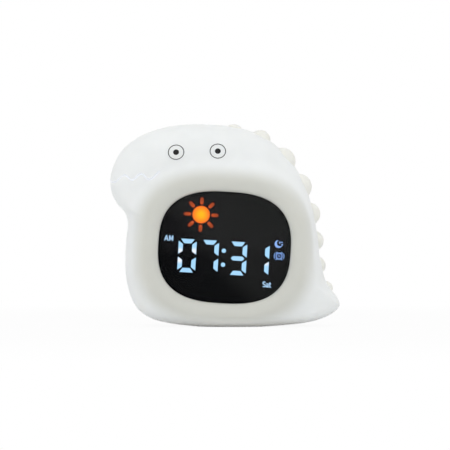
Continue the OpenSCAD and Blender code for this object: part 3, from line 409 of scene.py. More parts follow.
def srgb(red, green, blue):
    """A colour as seen on a screen, 0 to 255, as the linear values a shader takes."""
    def linear(c):
        c = c / 255
        return c / 12.92 if c <= 0.04045 else ((c + 0.055) / 1.055) ** 2.4
    return (linear(red), linear(green), linear(blue))


# ------------------------------------------------------------------ finishes

CONDUCTOR_PITCH = 1.0
# Where the darker ring around the window fades, in shares of the window and in depth: partly the dark clock
# unit behind the silicone, partly painted shade
RING_SHARE = (1.5, 1.2)
RING_DEPTH = (-22, -31)
# Heights between which the foot is painted paler, painted light that lifts the shade where it meets the floor
FOOT_PAINTED_LIGHT = (6, 1)


def silicone(name, kind="body"):
    """Soft matt silicone. The ring around the window is duller, partly for the dark clock unit under it and
    partly as painted shade.
    """
    finish = Finish(name, roughness=0.5, subsurface_weight=0.35, subsurface_scale=0.004,
                    specular_ior_level=0.3, sheen_weight=0.1, sheen_roughness=0.5)
    finish.shader.inputs["Subsurface Radius"].default_value = (1.0, 0.95, 0.85)
    if kind == "body":
        x, z = finish.unit_axes()
        _, y, height = finish.axes()
        oval = (abs(x) / (DISPLAY_W / 2)) ** OVAL_POWER + (abs(z) / (DISPLAY_H / 2)) ** OVAL_POWER
        ring = (oval ** (1 / OVAL_POWER)).ramp(*RING_SHARE) * y.ramp(*RING_DEPTH)
        clean = finish.blend(finish.noise(18, 2).ramp(0.35, 0.7), srgb(243, 246, 245), srgb(240, 243, 242))
        # Darker tone of the ring around the window: partly the dark clock unit under the silicone, partly
        # painted shade
        unit_and_painted_shade = finish.blend(finish.noise(12, 2), srgb(216, 217, 210), srgb(212, 213, 206))
        toned = finish.blend(ring, clean, unit_and_painted_shade)
        # Painted light: the foot turns paler near the floor, against its contact shade
        tinted = finish.blend(height.ramp(*FOOT_PAINTED_LIGHT), toned, srgb(255, 254, 248))
    elif kind == "ridge":
        tinted = finish.blend(finish.noise(6, 2), srgb(241, 241, 235), srgb(237, 237, 230))
    else:
        # The groove is painted paler and bluer and given a painted glow: painted light for what its thin wall
        # lets through
        tinted = finish.blend(finish.noise(2), srgb(240, 244, 252), srgb(248, 250, 255))
        finish.shader.inputs["Emission Color"].default_value = (*srgb(232, 238, 250), 1)
        finish.shader.inputs["Emission Strength"].default_value = GROOVE_GLOW
    relief = finish.noise(0.35, 4, 0.6) * 0.7 + finish.noise(6, 2) * 0.15
    return finish.dressed(tinted, finish.noise(3, 3) * 0.14 + 0.43, relief, 0.04)


def printed_ink(name, color):
    """Pad-printed ink, a little uneven where it lies on the silicone's grain."""
    finish = Finish(name, roughness=0.45, specular_ior_level=0.2)
    worn = finish.noise(0.5, 3).ramp(0.45, 0.75)
    ink = finish.blend(worn * 0.4, color, tuple(c + 0.01 for c in color))
    return finish.dressed(ink, worn * 0.2 + 0.38, finish.noise(0.25, 3), 0.02)


def moulded(name, color, roughness=0.5, grain=0.5, relief=0.02, shade=0.85, **settings):
    """Injection-moulded plastic with a fine spark-eroded grain."""
    finish = Finish(name, **settings)
    clouds = finish.noise(9, 3).ramp(0.3, 0.75)
    tone = finish.blend(clouds, color, tuple(c * shade for c in color))
    dull = finish.noise(grain * 4, 3) * 0.2 + (roughness - 0.1)
    return finish.dressed(tone, dull, finish.noise(grain, 4, 0.65), relief)


def metal(name, color, roughness=0.35, grain=0.4):
    """Plated or rolled metal, with fine scratches that run along X."""
    finish = Finish(name, metallic=1.0)
    stretched = finish.node("ShaderNodeMapping", None, {"Vector": finish.place, "Scale": (0.15, 1, 1)})
    scratches = finish.number("ShaderNodeTexNoise", None, {
        "Vector": stretched.outputs["Vector"], "Scale": 1 / (grain * MM), "Detail": 4})
    tone = finish.blend(scratches, color, tuple(c * 0.78 for c in color))
    return finish.dressed(tone, scratches * 0.25 + (roughness - 0.1), scratches, 0.01)


def circuit_board():
    """Green solder mask with copper tracks under it and bright pads."""
    finish = Finish("circuit_board", roughness=0.35, coat_roughness=0.2)
    tracks = finish.number("ShaderNodeTexBrick", {"offset": 0.37}, {
        "Vector": finish.place, "Scale": 260, "Mortar Size": 0.06}, output=1)
    pads = finish.cells(3.4).ramp(0.12, 0.08)
    masked = finish.blend(tracks * 0.7, srgb(18, 84, 42), srgb(40, 120, 66))
    finish.feed("Base Color", finish.blend(pads, masked, srgb(190, 190, 182)))
    finish.feed("Metallic", pads)
    finish.feed("Coat Weight", (1 - pads) * 0.5)
    finish.bump(tracks + pads, 0.03)
    return finish.material


def lit(name, color, hot, strength, lamps):
    """Lit part of the display. It shines towards the second colour near its lamps, each x, z and reach."""
    finish = Finish(name, roughness=0.5, emission_strength=strength)
    x, z = finish.unit_axes()
    near = 0
    for lamp_x, lamp_z, reach in lamps:
        glow = ((x - lamp_x) ** 2 + (z - lamp_z) ** 2).root().ramp(reach, 0)
        near = glow.maths("MAXIMUM", near)
    grain = finish.noise(1.2, 2)
    unlit, paler = tuple(c * 0.2 for c in color), tuple(c * 0.26 for c in color)
    finish.feed("Base Color", finish.blend(grain, unlit, paler))
    finish.feed("Emission Color", finish.blend(near, color, hot))
    finish.feed("Roughness", grain * 0.2 + 0.4)
    return finish.material


def smoked_tone_and_reflection(finish, light, dark):
    """Smoked grey with a painted reflection, lighter in the upper right of the window than in its lower left.
    """
    x, z = finish.unit_axes()
    # Uneven edge of the painted reflection
    reflection_edge_wobble = finish.noise(20, 2) * 8
    return finish.blend((x + z + reflection_edge_wobble).ramp(-20, 4), dark, light)


def window_acrylic():
    """Dark tinted acrylic with a polished face."""
    finish = Finish("window_acrylic", specular_ior_level=0.08, ior=1.49, alpha=0.5)
    # Its colour holds a painted reflection, lighter in the upper right
    tone = smoked_tone_and_reflection(finish, srgb(33, 34, 34), srgb(5, 6, 9))
    return finish.dressed(tone, finish.noise(14, 3) * 0.04 + 0.06, finish.noise(30, 1), 0.004)


def smoked_film(name):
    """Opaque print or tape behind the window, which takes the window's tone and its painted reflection."""
    finish = Finish(name, specular_ior_level=0.03)
    tone = smoked_tone_and_reflection(finish, srgb(31, 33, 33), srgb(5, 6, 9))
    return finish.dressed(tone, finish.noise(4, 2) * 0.1 + 0.6, finish.noise(12, 1), 0.002)


def ribbed_cable():
    """Flat white cable with a line for each conductor."""
    finish = Finish("flat_cable", roughness=0.4)
    x = finish.axes()[0]
    wave = (x * (math.tau / CONDUCTOR_PITCH)).maths("SINE").ramp(-0.2, 0.6)
    tone = finish.blend(wave, srgb(222, 224, 230), srgb(170, 172, 182))
    return finish.dressed(tone, wave * 0.15 + 0.35, wave, 0.06)


cover_silicone = silicone("cover_silicone")
ridge_silicone = silicone("ridge_silicone", "ridge")
groove_silicone = silicone("groove_silicone", "groove")
# Moulded parts: colour on a screen, roughness, grain, relief and share of the colour left in its clouds
MOULDED = {
    "milky_plastic": ((232, 232, 226), 0.48, 0.45, 0.03, 0.93),
    "button_plastic": ((226, 227, 222), 0.4, 0.3, 0.02, 0.94),
    "white_reflector": ((235, 235, 232), 0.55, 0.4, 0.02, 0.95),
    "led_warm": ((240, 214, 130), 0.25, 0.3, 0.01, 0.8),
    "black_chip": ((24, 24, 25), 0.55, 0.2, 0.03),
    "foam_tape": ((30, 30, 32), 0.8, 0.6, 0.12),
    "white_board": ((232, 232, 226), 0.35, 0.6, 0.02, 0.92),
    "capacitor_sleeve": ((40, 46, 66), 0.3, 0.5, 0.01),
    "sensor_sleeve": ((38, 38, 42), 0.5, 0.5, 0.02),
    "connector_white": ((232, 228, 210), 0.45, 0.3, 0.02, 0.9),
    "wire_red": ((168, 28, 26), 0.4, 0.6, 0.01),
    "wire_black": ((26, 26, 27), 0.4, 0.6, 0.01),
    "wire_yellow": ((206, 178, 52), 0.4, 0.6, 0.01),
    "switch_black": ((26, 26, 28), 0.45, 0.2, 0.02),
    "gasket_foam": ((26, 26, 27), 0.85, 0.5, 0.1),
    "speaker_film": ((52, 47, 42), 0.6, 0.3, 0.04),
}
FINISHES = {
    "silicone": cover_silicone,
    "eye_print": printed_ink("eye_ink", srgb(22, 22, 22)),
    "steel": metal("screw_steel", (0.55, 0.55, 0.57)),
    "window": window_acrylic(),
    "black_tape": smoked_film("black_tape"),
    "mask_film": smoked_film("mask_film"),
    "circuit_board": circuit_board(),
    "led_white": lit("led_white", srgb(180, 215, 255), srgb(255, 255, 255), 1.5, HOT_SPOTS),
    "led_amber": lit("led_amber", srgb(255, 150, 40), srgb(255, 200, 90), 1.5, [(*SUN_XZ, SUN_D / 2)]),
    "battery_foil": metal("battery_foil", (0.6, 0.61, 0.63), 0.4, 1.2),
    "diffuser": moulded("milky_diffuser", srgb(242, 242, 236), 0.35, 0.4, 0.01, 0.96, alpha=0.85),
    "bright_metal": metal("bright_metal", (0.68, 0.68, 0.7), 0.28, 0.25),
    "flat_cable": ribbed_cable(),
    "speaker_steel": metal("speaker_steel", (0.5, 0.5, 0.52), 0.38),
    "magnet": metal("magnet_plating", (0.2, 0.2, 0.21), 0.35),
    "copper": metal("coil_copper", (0.75, 0.36, 0.16), 0.3, 0.2),
}
for mould, (color, *surface) in MOULDED.items():
    FINISHES[mould] = moulded(mould, srgb(*color), *surface)
NODE_SLOT = {entry["node"]: entry["material_slot"] for entry in frame["record"]["subparts"]}


# ------------------------------------------------------------------ the silicone cover

display_centre = np.array([DISPLAY_X, DISPLAY_Z])
outline = np.array(OUTLINE_XZ, float)
skin = closed_spline(OUTLINE_XZ, OUTLINE_SUB)


def angle_of(p):
    return np.arctan2(p[..., 1] - DISPLAY_Z, p[..., 0] - DISPLAY_X)


skin_start = angle_of(skin[0])
skin_angles = np.mod(angle_of(skin) - skin_start, math.tau)
skin_reach = np.linalg.norm(skin - display_centre, axis=1)


def face_depth(d, span, edge_z, x, z, rise, back):
    """Depth of the body's face at a distance d from the lip, where the outline is span away from it."""
    ring = CREST_Y - rise + rise * np.sqrt(np.clip(1 - (1 - d / RING_CREST) ** 2, 0, 1))
    head = CREST_Y - HEAD_SET_BACK * smooth((d - RING_CREST) / RING_BLEND)
    face = np.where(d < RING_CREST, ring, head)
    lean = HEAD_LEAN * (BACK_LEAN if back else 1) * np.maximum(0, z - HEAD_FOOT)
    tail = TAIL_SET_BACK * smooth((x - TAIL_X) / TAIL_L) * smooth((TAIL_Z - z) / TAIL_DROP)
    width = np.minimum(span - FACE_LEAST, np.interp(edge_z, *EDGE_ROUND))
    power = np.interp(edge_z, *EDGE_POWER)
    e = np.clip((span - d) / width, 0, 1)
    return (face - lean - tail) * np.clip(1 - (1 - e) ** power, 0, 1) ** (1 / power)


def face_line(p, side, a, b, rise):
    """Points from a lip to the outline, side is -1 in front and 1 at the back."""
    toward = unit(p - display_centre)
    inner = superellipse(a, b, angle_of(p) + UNIT_ROLL)
    span = np.linalg.norm(p - display_centre) - inner
    ring = np.array(LIP_STEPS) * RING_CREST
    q = np.arange(1, FLANK_STEPS) / FLANK_STEPS
    d = np.concatenate([ring, RING_CREST + (span - RING_CREST) * (1 - (1 - q) ** FLANK_POWER), [span]])
    at = display_centre + toward * (inner + d)[:, None]
    depth = face_depth(d, span, p[1], at[:, 0], at[:, 1], rise, side > 0)
    return np.stack([at[:, 0], side * depth, at[:, 1]], axis=1)


def front_point(x, z):
    """The place on the front of the cover at x and z."""
    p = np.array([x, z], float)
    angle = angle_of(p)
    inner = superellipse(DISPLAY_W / 2, DISPLAY_H / 2, angle + UNIT_ROLL)
    far = np.interp(np.mod(angle - skin_start, math.tau), skin_angles, skin_reach)
    edge_z = DISPLAY_Z + far * math.sin(angle)
    d = np.linalg.norm(p - display_centre) - inner
    return np.array([x, -float(face_depth(d, far - inner, edge_z, x, z, LIP_DROP, False)), z])


def front_normal(x, z):
    """The way out of the cover's front at x and z."""
    up = front_point(x, z + 0.5) - front_point(x, z - 0.5)
    right = front_point(x + 0.5, z) - front_point(x - 0.5, z)
    return unit(np.cross(right, up))


def lofted_shell():
    """The hollow cover, as a closed torus of rings that run from lip to lip and back inside."""
    rear_a, rear_b, rear_y = PANEL_W / 2 + SOFT_GAP, PANEL_H / 2 + SOFT_GAP, SHOULDER_Y + SOFT_GAP
    outer = []
    for p in skin:
        front = face_line(p, -1, DISPLAY_W / 2, DISPLAY_H / 2, LIP_DROP)
        rear = face_line(p, 1, rear_a, rear_b, CREST_Y - PANEL_Y)
        outer.append(np.concatenate([front, rear[-2::-1]]))
    outer = np.array(outer)
    around = np.roll(outer, -1, axis=0) - np.roll(outer, 1, axis=0)
    along = np.gradient(outer, axis=1)
    inward = unit(np.cross(around, along))
    picks = list(range(outer.shape[1] - len(LIP_STEPS) + 1, len(LIP_STEPS) - 2, -3))
    inner = outer[:, picks] + WALL * inward[:, picks]
    inner[..., 2] = np.maximum(inner[..., 2], WALL)

    def lip(a, b, extra, y):
        radius = superellipse(a, b, angle_of(skin) + UNIT_ROLL) + extra
        at = display_centre + unit(skin - display_centre) * radius[:, None]
        return np.stack([at[:, 0], np.full(len(skin), y), at[:, 1]], axis=1)[:, None]

    rear = [lip(rear_a, rear_b, extra, rear_y) for extra in (0, LIP_W)]
    front = [lip(DISPLAY_W / 2, DISPLAY_H / 2, extra, -LIP_BACK) for extra in (LIP_W, 0)]
    rings = np.concatenate([outer, *rear, inner, *front], axis=1)
    count, length = rings.shape[:2]
    faces = [(i * length + j, ((i + 1) % count) * length + j, ((i + 1) % count) * length + (j + 1) % length,
              i * length + (j + 1) % length) for i in range(count) for j in range(length)]
    shell = piece("soft_cover", rings.reshape(-1, 3), faces, cover_silicone)
    for material in (groove_silicone, ridge_silicone):
        shell.data.materials.append(material)
    return shell


def ridge_bump(index, radius, height):
    """A round bump, stretched across the body."""
    ahead, behind = outline[(index + 1) % len(outline)], outline[index - 1]
    along = unit(ahead - behind)
    centre = outline[index] + np.array([along[1], -along[0]]) * (height - radius)
    built = bmesh.new()
    bmesh.ops.create_uvsphere(built, u_segments=48, v_segments=24, radius=radius * MM)
    bmesh.ops.rotate(built, verts=built.verts, matrix=Matrix.Rotation(math.pi / 2, 3, "X"))
    for vert in built.verts:
        vert.co.y += math.copysign(RIDGE_SPREAD * MM, vert.co.y) if abs(vert.co.y) > 1e-9 else 0
    bmesh.ops.translate(built, verts=built.verts, vec=Vector((centre[0] * MM, 0, centre[1] * MM)))
    return built_piece("bump", built, [ridge_silicone])


def mouth_tube():
    """A tube along the mouth, which cuts the groove."""
    sides, sub = 14, 8
    path = open_spline(MOUTH_XZ, sub)
    points = []
    for i, (x, z) in enumerate(path):
        ahead, behind = path[min(len(path) - 1, i + 1)], path[max(0, i - 1)]
        normal = front_normal(x, z)
        along = unit(front_point(*ahead) - front_point(*behind))
        across = unit(np.cross(along, normal))
        centre = front_point(x, z)
        for k in range(sides):
            turn = math.tau * k / sides
            points.append(centre + MOUTH_W / 2 * (across * math.cos(turn) + normal * math.sin(turn)))
    n = len(path)
    faces = [(i * sides + k, i * sides + (k + 1) % sides,
              (i + 1) * sides + (k + 1) % sides, (i + 1) * sides + k)
             for i in range(n - 1) for k in range(sides)]
    faces += [tuple(range(sides - 1, -1, -1)), tuple((n - 1) * sides + k for k in range(sides))]
    tube = piece("mouth_tube", points, faces, groove_silicone)
    fix_normals(tube)
    return tube


def base_block():
    """A block in metres under the part, which cuts its foot flat."""
    across, deep, tall = 0.4, 0.2, 0.02
    built = bmesh.new()
    bmesh.ops.create_cube(built, size=1)
    bmesh.ops.scale(built, verts=built.verts, vec=Vector((across, deep, tall)))
    bmesh.ops.translate(built, verts=built.verts, vec=Vector((0, 0, -tall / 2)))
    return built_piece("base_block", built)


def boolean(thing, tool, operation):
    """A modifier that joins a tool to a piece or cuts it out, with the tool's own material."""
    step = thing.modifiers.new(operation.lower(), "BOOLEAN")
    step.operation = operation
    step.solver = "MANIFOLD"
    step.material_mode = "TRANSFER"
    step.object = tool


def make_cover():
    cover = lofted_shell()
    fix_normals(cover)
    bumps = [ridge_bump(*bump) for bump in RIDGE]
    cutters = [mouth_tube(), base_block()]
    for bump in bumps:
        boolean(cover, bump, "UNION")
    for cutter in cutters:
        boolean(cover, cutter, "DIFFERENCE")
    apply_modifiers(cover)
    for tool in bumps + cutters:
        bpy.data.objects.remove(tool)
    soften(cover, 40)
    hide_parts("silicone_cover")
    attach(cover, "clock")
    return cover


# ------------------------------------------------------------------ the printed eyes

# How far the print stands proud of the skin and reaches into it
PRINT_LIFT = 0.06
PRINT_SINK = 0.2


def eye_band(name, skin_tree, inner_r, outer_r, steps):
    """Both eyes' ring or dot, as thin print that lies on the cover itself."""

    def on_cover(place):
        start = Vector((place[0], -BODY_D, place[2])) * MM
        hit, normal, _, _ = skin_tree.ray_cast(start, Vector((0, 1, 0)))
        return np.array(hit) / MM, np.array(normal)

    made = []
    for eye in EYE_XZ:
        centre, normal = front_point(*eye), front_normal(*eye)
        right = unit(np.cross([0, 0, 1], -normal))
        up = np.cross(right, normal)
        points, faces = [], []
        for depth in (PRINT_LIFT, -PRINT_SINK):
            for k in range(steps):
                turn = math.tau * k / steps
                for r in (inner_r, (inner_r + outer_r) / 2, outer_r):
                    place, outward = on_cover(centre + r * (right * math.cos(turn) + up * math.sin(turn)))
                    points.append(place + depth * outward)
        low = 3 * steps
        for k in range(steps):
            a, b = 3 * k, 3 * ((k + 1) % steps)
            faces += [(a, a + 1, b + 1, b), (a + 1, a + 2, b + 2, b + 1)]
            faces += [(low + b, low + b + 1, low + a + 1, low + a),
                      (low + b + 1, low + b + 2, low + a + 2, low + a + 1)]
            faces += [(a, b, low + b, low + a), (b + 2, a + 2, low + a + 2, low + b + 2)]
        band = piece(name, points, faces, FINISHES["eye_print"])
        fix_normals(band)
        made.append(band)
    joined = join_pieces(name, made)
    soften(joined, 50)
    return joined


def make_eyes(cover):
    skin_tree = BVHTree.FromPolygons(
        [v.co for v in cover.data.vertices], [tuple(f.vertices) for f in cover.data.polygons])
    for name, inner_r, outer_r, steps, node in (
            ("eye_outline_print", EYE_D / 2 - EYE_LINE, EYE_D / 2, 72, "eye_rings"),
            ("eye_pupil_print", 0.02, PUPIL_D / 2, 40, "eye_pupils")):
        eyes = eye_band(name, skin_tree, inner_r, outer_r, steps)
        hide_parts(node)
        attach(eyes, "clock")


# ------------------------------------------------------------------ the display

SEGMENT_X = (DIGIT_W - SEGMENT_W) / 2
SEGMENT_Z = (DIGIT_H - SEGMENT_W) / 2
LEVEL_L = DIGIT_W - 2 * SEGMENT_CORNER
UPRIGHT_L = DIGIT_H / 2 - SEGMENT_CORNER - SEGMENT_GAP
UPRIGHT_Z = SEGMENT_GAP + UPRIGHT_L / 2
# Segment letters: kind, place from the digit's centre, and turn that puts the long edge outside
SEGMENTS = {"a": ("level", 0, SEGMENT_Z, 0), "g": ("middle", 0, 0, 0), "d": ("level", 0, -SEGMENT_Z, 180),
            "b": ("upright", SEGMENT_X, UPRIGHT_Z, -90), "c": ("upright", SEGMENT_X, -UPRIGHT_Z, -90),
            "f": ("upright", -SEGMENT_X, UPRIGHT_Z, 90), "e": ("upright", -SEGMENT_X, -UPRIGHT_Z, 90)}
# Strength of the lit parts, of which the pane's two faces let a quarter through
LIT = 4
# Lit segments of each digit
SHOWN = ("abcdef", "abc", "abcdg", "bc")


def geometry_tree(name, sizes):
    """A Geometry Nodes tree with a mesh input, named number inputs and a material input."""
    tree = bpy.data.node_groups.new(name, "GeometryNodeTree")
    tree.interface.new_socket("Geometry", in_out="INPUT", socket_type="NodeSocketGeometry")
    tree.interface.new_socket("Geometry", in_out="OUTPUT", socket_type="NodeSocketGeometry")
    for size in sizes:
        tree.interface.new_socket(size, in_out="INPUT", socket_type="NodeSocketFloat")
    tree.interface.new_socket("Material", in_out="INPUT", socket_type="NodeSocketMaterial")
    entry, result = tree.nodes.new("NodeGroupInput"), tree.nodes.new("NodeGroupOutput")
    return tree, entry, result


def grown(thing, tree, values):
    """The mesh that a tree makes on a piece, with its inputs set by their identifiers."""
    step = thing.modifiers.new(tree.name, "NODES")
    step.node_group = tree
    for item in tree.interface.items_tree:
        if item.item_type == "SOCKET" and item.in_out == "INPUT" and item.name in values:
            step[item.identifier] = values[item.name]
    apply_modifiers(thing)
    return thing


def segment_tree():
    """Puts one mitred bar on every point. A bar has its ends slanted by one number and pointed by another."""
    tree, entry, result = geometry_tree("segment_bars", ["Width", "Length", "Thickness", "Slant", "Point"])
    add, link = tree.nodes.new, tree.links.new

    def maths(operation, first, second=None):
        made = add("ShaderNodeMath")
        made.operation = operation
        for socket, value in zip(made.inputs, (first, second)):
            if isinstance(value, bpy.types.NodeSocket):
                link(value, socket)
            elif value is not None:
                socket.default_value = value
        return made.outputs[0]

    grid = add("GeometryNodeMeshGrid")
    for socket, value in (("Size X", 1), ("Size Y", 1), ("Vertices X", 2), ("Vertices Y", 3)):
        grid.inputs[socket].default_value = value
    position = add("GeometryNodeInputPosition")
    corner = add("ShaderNodeSeparateXYZ")
    link(position.outputs[0], corner.inputs[0])
    x, y = corner.outputs[0], corner.outputs[1]
    width, length = entry.outputs["Width"], entry.outputs["Length"]
    slanted = maths("MULTIPLY", entry.outputs["Slant"], maths("SUBTRACT", 0.5, y))
    pointed = maths("MULTIPLY", entry.outputs["Point"], maths("ABSOLUTE", y))
    cut_back = maths("MULTIPLY", width, maths("ADD", slanted, pointed))
    along = maths("MULTIPLY", maths("SIGN", x), maths("SUBTRACT", maths("MULTIPLY", length, 0.5), cut_back))
    shaped = add("ShaderNodeCombineXYZ")
    link(along, shaped.inputs[0])
    link(maths("MULTIPLY", y, width), shaped.inputs[1])
    place = add("GeometryNodeSetPosition")
    raised = add("GeometryNodeExtrudeMesh")
    raised.inputs["Individual"].default_value = False
    turn = add("GeometryNodeInputNamedAttribute")
    turn.data_type = "FLOAT_VECTOR"
    turn.inputs["Name"].default_value = "turn"
    spread = add("GeometryNodeInstanceOnPoints")
    solid = add("GeometryNodeRealizeInstances")
    coloured = add("GeometryNodeSetMaterial")
    for source, output, target, socket in (
            (grid, "Mesh", place, "Geometry"), (shaped, 0, place, "Position"),
            (place, "Geometry", raised, "Mesh"), (entry, "Thickness", raised, "Offset Scale"),
            (entry, "Geometry", spread, "Points"), (raised, "Mesh", spread, "Instance"),
            (turn, "Attribute", spread, "Rotation"), (spread, "Instances", solid, "Geometry"),
            (solid, "Geometry", coloured, "Geometry"), (entry, "Material", coloured, "Material"),
            (coloured, "Geometry", result, "Geometry")):
        link(source.outputs[output], target.inputs[socket])
    return tree


segments_tree = segment_tree()


def place_in_unit(thing, y):
    """Turns a flat piece, drawn in x and y, into the display's plane at this depth."""
    turned = Matrix.Translation((DISPLAY_X * MM, 0, DISPLAY_Z * MM)) @ Matrix.Rotation(UNIT_ROLL, 4, "Y")
    upright = Matrix.Translation((0, y * MM, 0)) @ Matrix.Rotation(math.pi / 2, 4, "X")
    thing.data.transform(turned @ upright)
    return thing


def bars(name, places, length, slant, point, thickness, material):
    """Bars of one kind on the display, each place is x, z and an angle in degrees."""
    carrier = piece(name, [(x, z, 0) for x, z, _ in places], [], None)
    layer = carrier.data.attributes.new("turn", "FLOAT_VECTOR", "POINT")
    for entry, (_, _, angle) in zip(layer.data, places):
        entry.vector = (0, 0, math.radians(angle))
    return grown(carrier, segments_tree, {
        "Width": SEGMENT_W * MM, "Length": length * MM, "Thickness": thickness * MM,
        "Slant": slant, "Point": point, "Material": material})


def digit_bars(name, lit_ones, thickness, material):
    """The lit or the dark segments of the four digits, as one piece in the display's plane."""
    kinds = {"level": (LEVEL_L, SEGMENT_SLANT, 0), "middle": (LEVEL_L, 0, 1),
             "upright": (UPRIGHT_L, SEGMENT_SLANT, 0)}
    made = []
    for kind, (length, slant, point) in kinds.items():
        places = [(x + dx, DIGIT_Z + dz, angle)
                  for x, shown in zip(DIGIT_X, SHOWN)
                  for letter, (form, dx, dz, angle) in SEGMENTS.items()
                  if form == kind and (letter in shown) == lit_ones]
        if places:
            made.append(bars(name + "_" + kind, places, length, slant, point, thickness, material))
    return join_pieces(name, made)


def ring_outline(centre, outer_r, inner_r, start, stop, steps=24):
    """An arc band between two angles in degrees."""
    x, z = centre
    turns = [math.radians(start + (stop - start) * k / steps) for k in range(steps + 1)]
    outside = [(x + outer_r * math.cos(t), z + outer_r * math.sin(t)) for t in turns]
    inside = [(x + inner_r * math.cos(t), z + inner_r * math.sin(t)) for t in reversed(turns)]
    return outside + inside


def bar_outline(start, end, width):
    """A straight bar with square ends."""
    (x0, z0), (x1, z1) = start, end
    length = math.hypot(x1 - x0, z1 - z0)
    nx, nz = -(z1 - z0) / length * width / 2, (x1 - x0) / length * width / 2
    return [(x0 + nx, z0 + nz), (x0 - nx, z0 - nz), (x1 - nx, z1 - nz), (x1 + nx, z1 + nz)]


def letter_outlines(centre, bars=(), arcs=(), stroke=0.62):
    """Letters made of straight bars and of arcs, each arc a centre, a middle radius and two angles."""
    x, z = centre
    marks = [bar_outline((x + x0, z + z0), (x + x1, z + z1), stroke) for x0, z0, x1, z1 in bars]
    for dx, dz, radius, start, stop in arcs:
        outer_r, inner_r = radius + stroke / 2, radius - stroke / 2
        marks.append(ring_outline((x + dx, z + dz), outer_r, inner_r, start, stop, 16))
    return marks


def half_day_outlines(centre):
    """The letters AM."""
    return letter_outlines(centre, [
        (-2.7, -1.85, -1.55, 1.75), (-1.65, 1.75, -0.4, -1.85), (-2.2, -0.65, -0.9, -0.65),
        (0.4, -1.85, 0.4, 1.85), (0.45, 1.6, 1.45, -1.1),
        (2.45, 1.6, 1.45, -1.1), (2.5, -1.85, 2.5, 1.85)])


def weekday_outlines(centre):
    """The letters Sat."""
    straight = [(0.75, -1.9, 0.75, -0.2), (1.75, -1.3, 1.75, 1.5), (1.25, 0.5, 2.6, 0.5),
                (2.1, -1.6, 2.65, -1.6)]
    round_s = [(-1.85, 0.82, 0.78, 20, 270), (-1.85, -0.82, 0.78, -160, 90)]
    round_a = [(0.05, -1.15, 0.48, 0, 180), (0.05, -1.15, 0.48, 180, 360), (0.05, -0.2, 0.7, 0, 150)]
    round_t = [(2.1, -1.25, 0.35, 180, 270)]
    return letter_outlines(centre, straight, round_s + round_a + round_t)


def moon_outlines(centre):
    """A crescent that opens up and to the right, with a star and two dots in it."""
    x, z = centre
    big, bite, shift, turn = 2.5, 2.03, 1.13, math.radians(37)
    meet = math.acos((shift ** 2 + big ** 2 - bite ** 2) / (2 * shift * big))
    inner_meet = math.acos((shift ** 2 + bite ** 2 - big ** 2) / (2 * shift * bite))
    turns, inner_turns = np.linspace(meet, math.tau - meet, 30), np.linspace(-inner_meet, inner_meet, 22)
    outer = [(big * math.cos(t), big * math.sin(t)) for t in turns]
    inner = [(shift - bite * math.cos(t), bite * math.sin(t)) for t in inner_turns]
    left = x - 0.6
    c, s = math.cos(turn), math.sin(turn)
    crescent = [(left + a * c - b * s, z + a * s + b * c) for a, b in outer + inner[1:-1]]
    star = [(left + 0.8 + r * math.cos(t), z + 1.0 + r * math.sin(t))
            for t, r in zip(np.linspace(0, math.tau, 9)[:-1], (0.6, 0.36, 1.2, 0.36) * 2)]
    dots = [circle_points((left + dx, z + dz), r, 8)
            for dx, dz, r in ((2.15, 1.25, 0.5), (2.35, -0.35, 0.55))]
    return [crescent, star] + dots


def bell_outlines(centre):
    """A ringing alarm clock: a round clock, its hands, two feet, two bells and a wave on each side."""
    x, z = centre
    marks = [ring_outline(centre, 2.2, 1.6, 0, 180), ring_outline(centre, 2.2, 1.6, 180, 360)]
    marks.append(bar_outline((x - 0.1, z - 0.4), (x - 0.1, z + 0.9), 0.5))
    marks.append(bar_outline((x - 0.4, z - 0.15), (x + 0.65, z - 0.15), 0.45))
    for side in (-1, 1):
        marks.append(bar_outline((x + side * 1.35, z - 1.7), (x + side * 2.0, z - 2.6), 0.6))
        marks.append(bar_outline((x + side * 1.2, z + 2.5), (x + side * 2.2, z + 1.65), 0.55))
        middle = 0 if side > 0 else 180
        marks.append(ring_outline(centre, 3.4, 2.95, middle - 32, middle + 32, 10))
    return marks


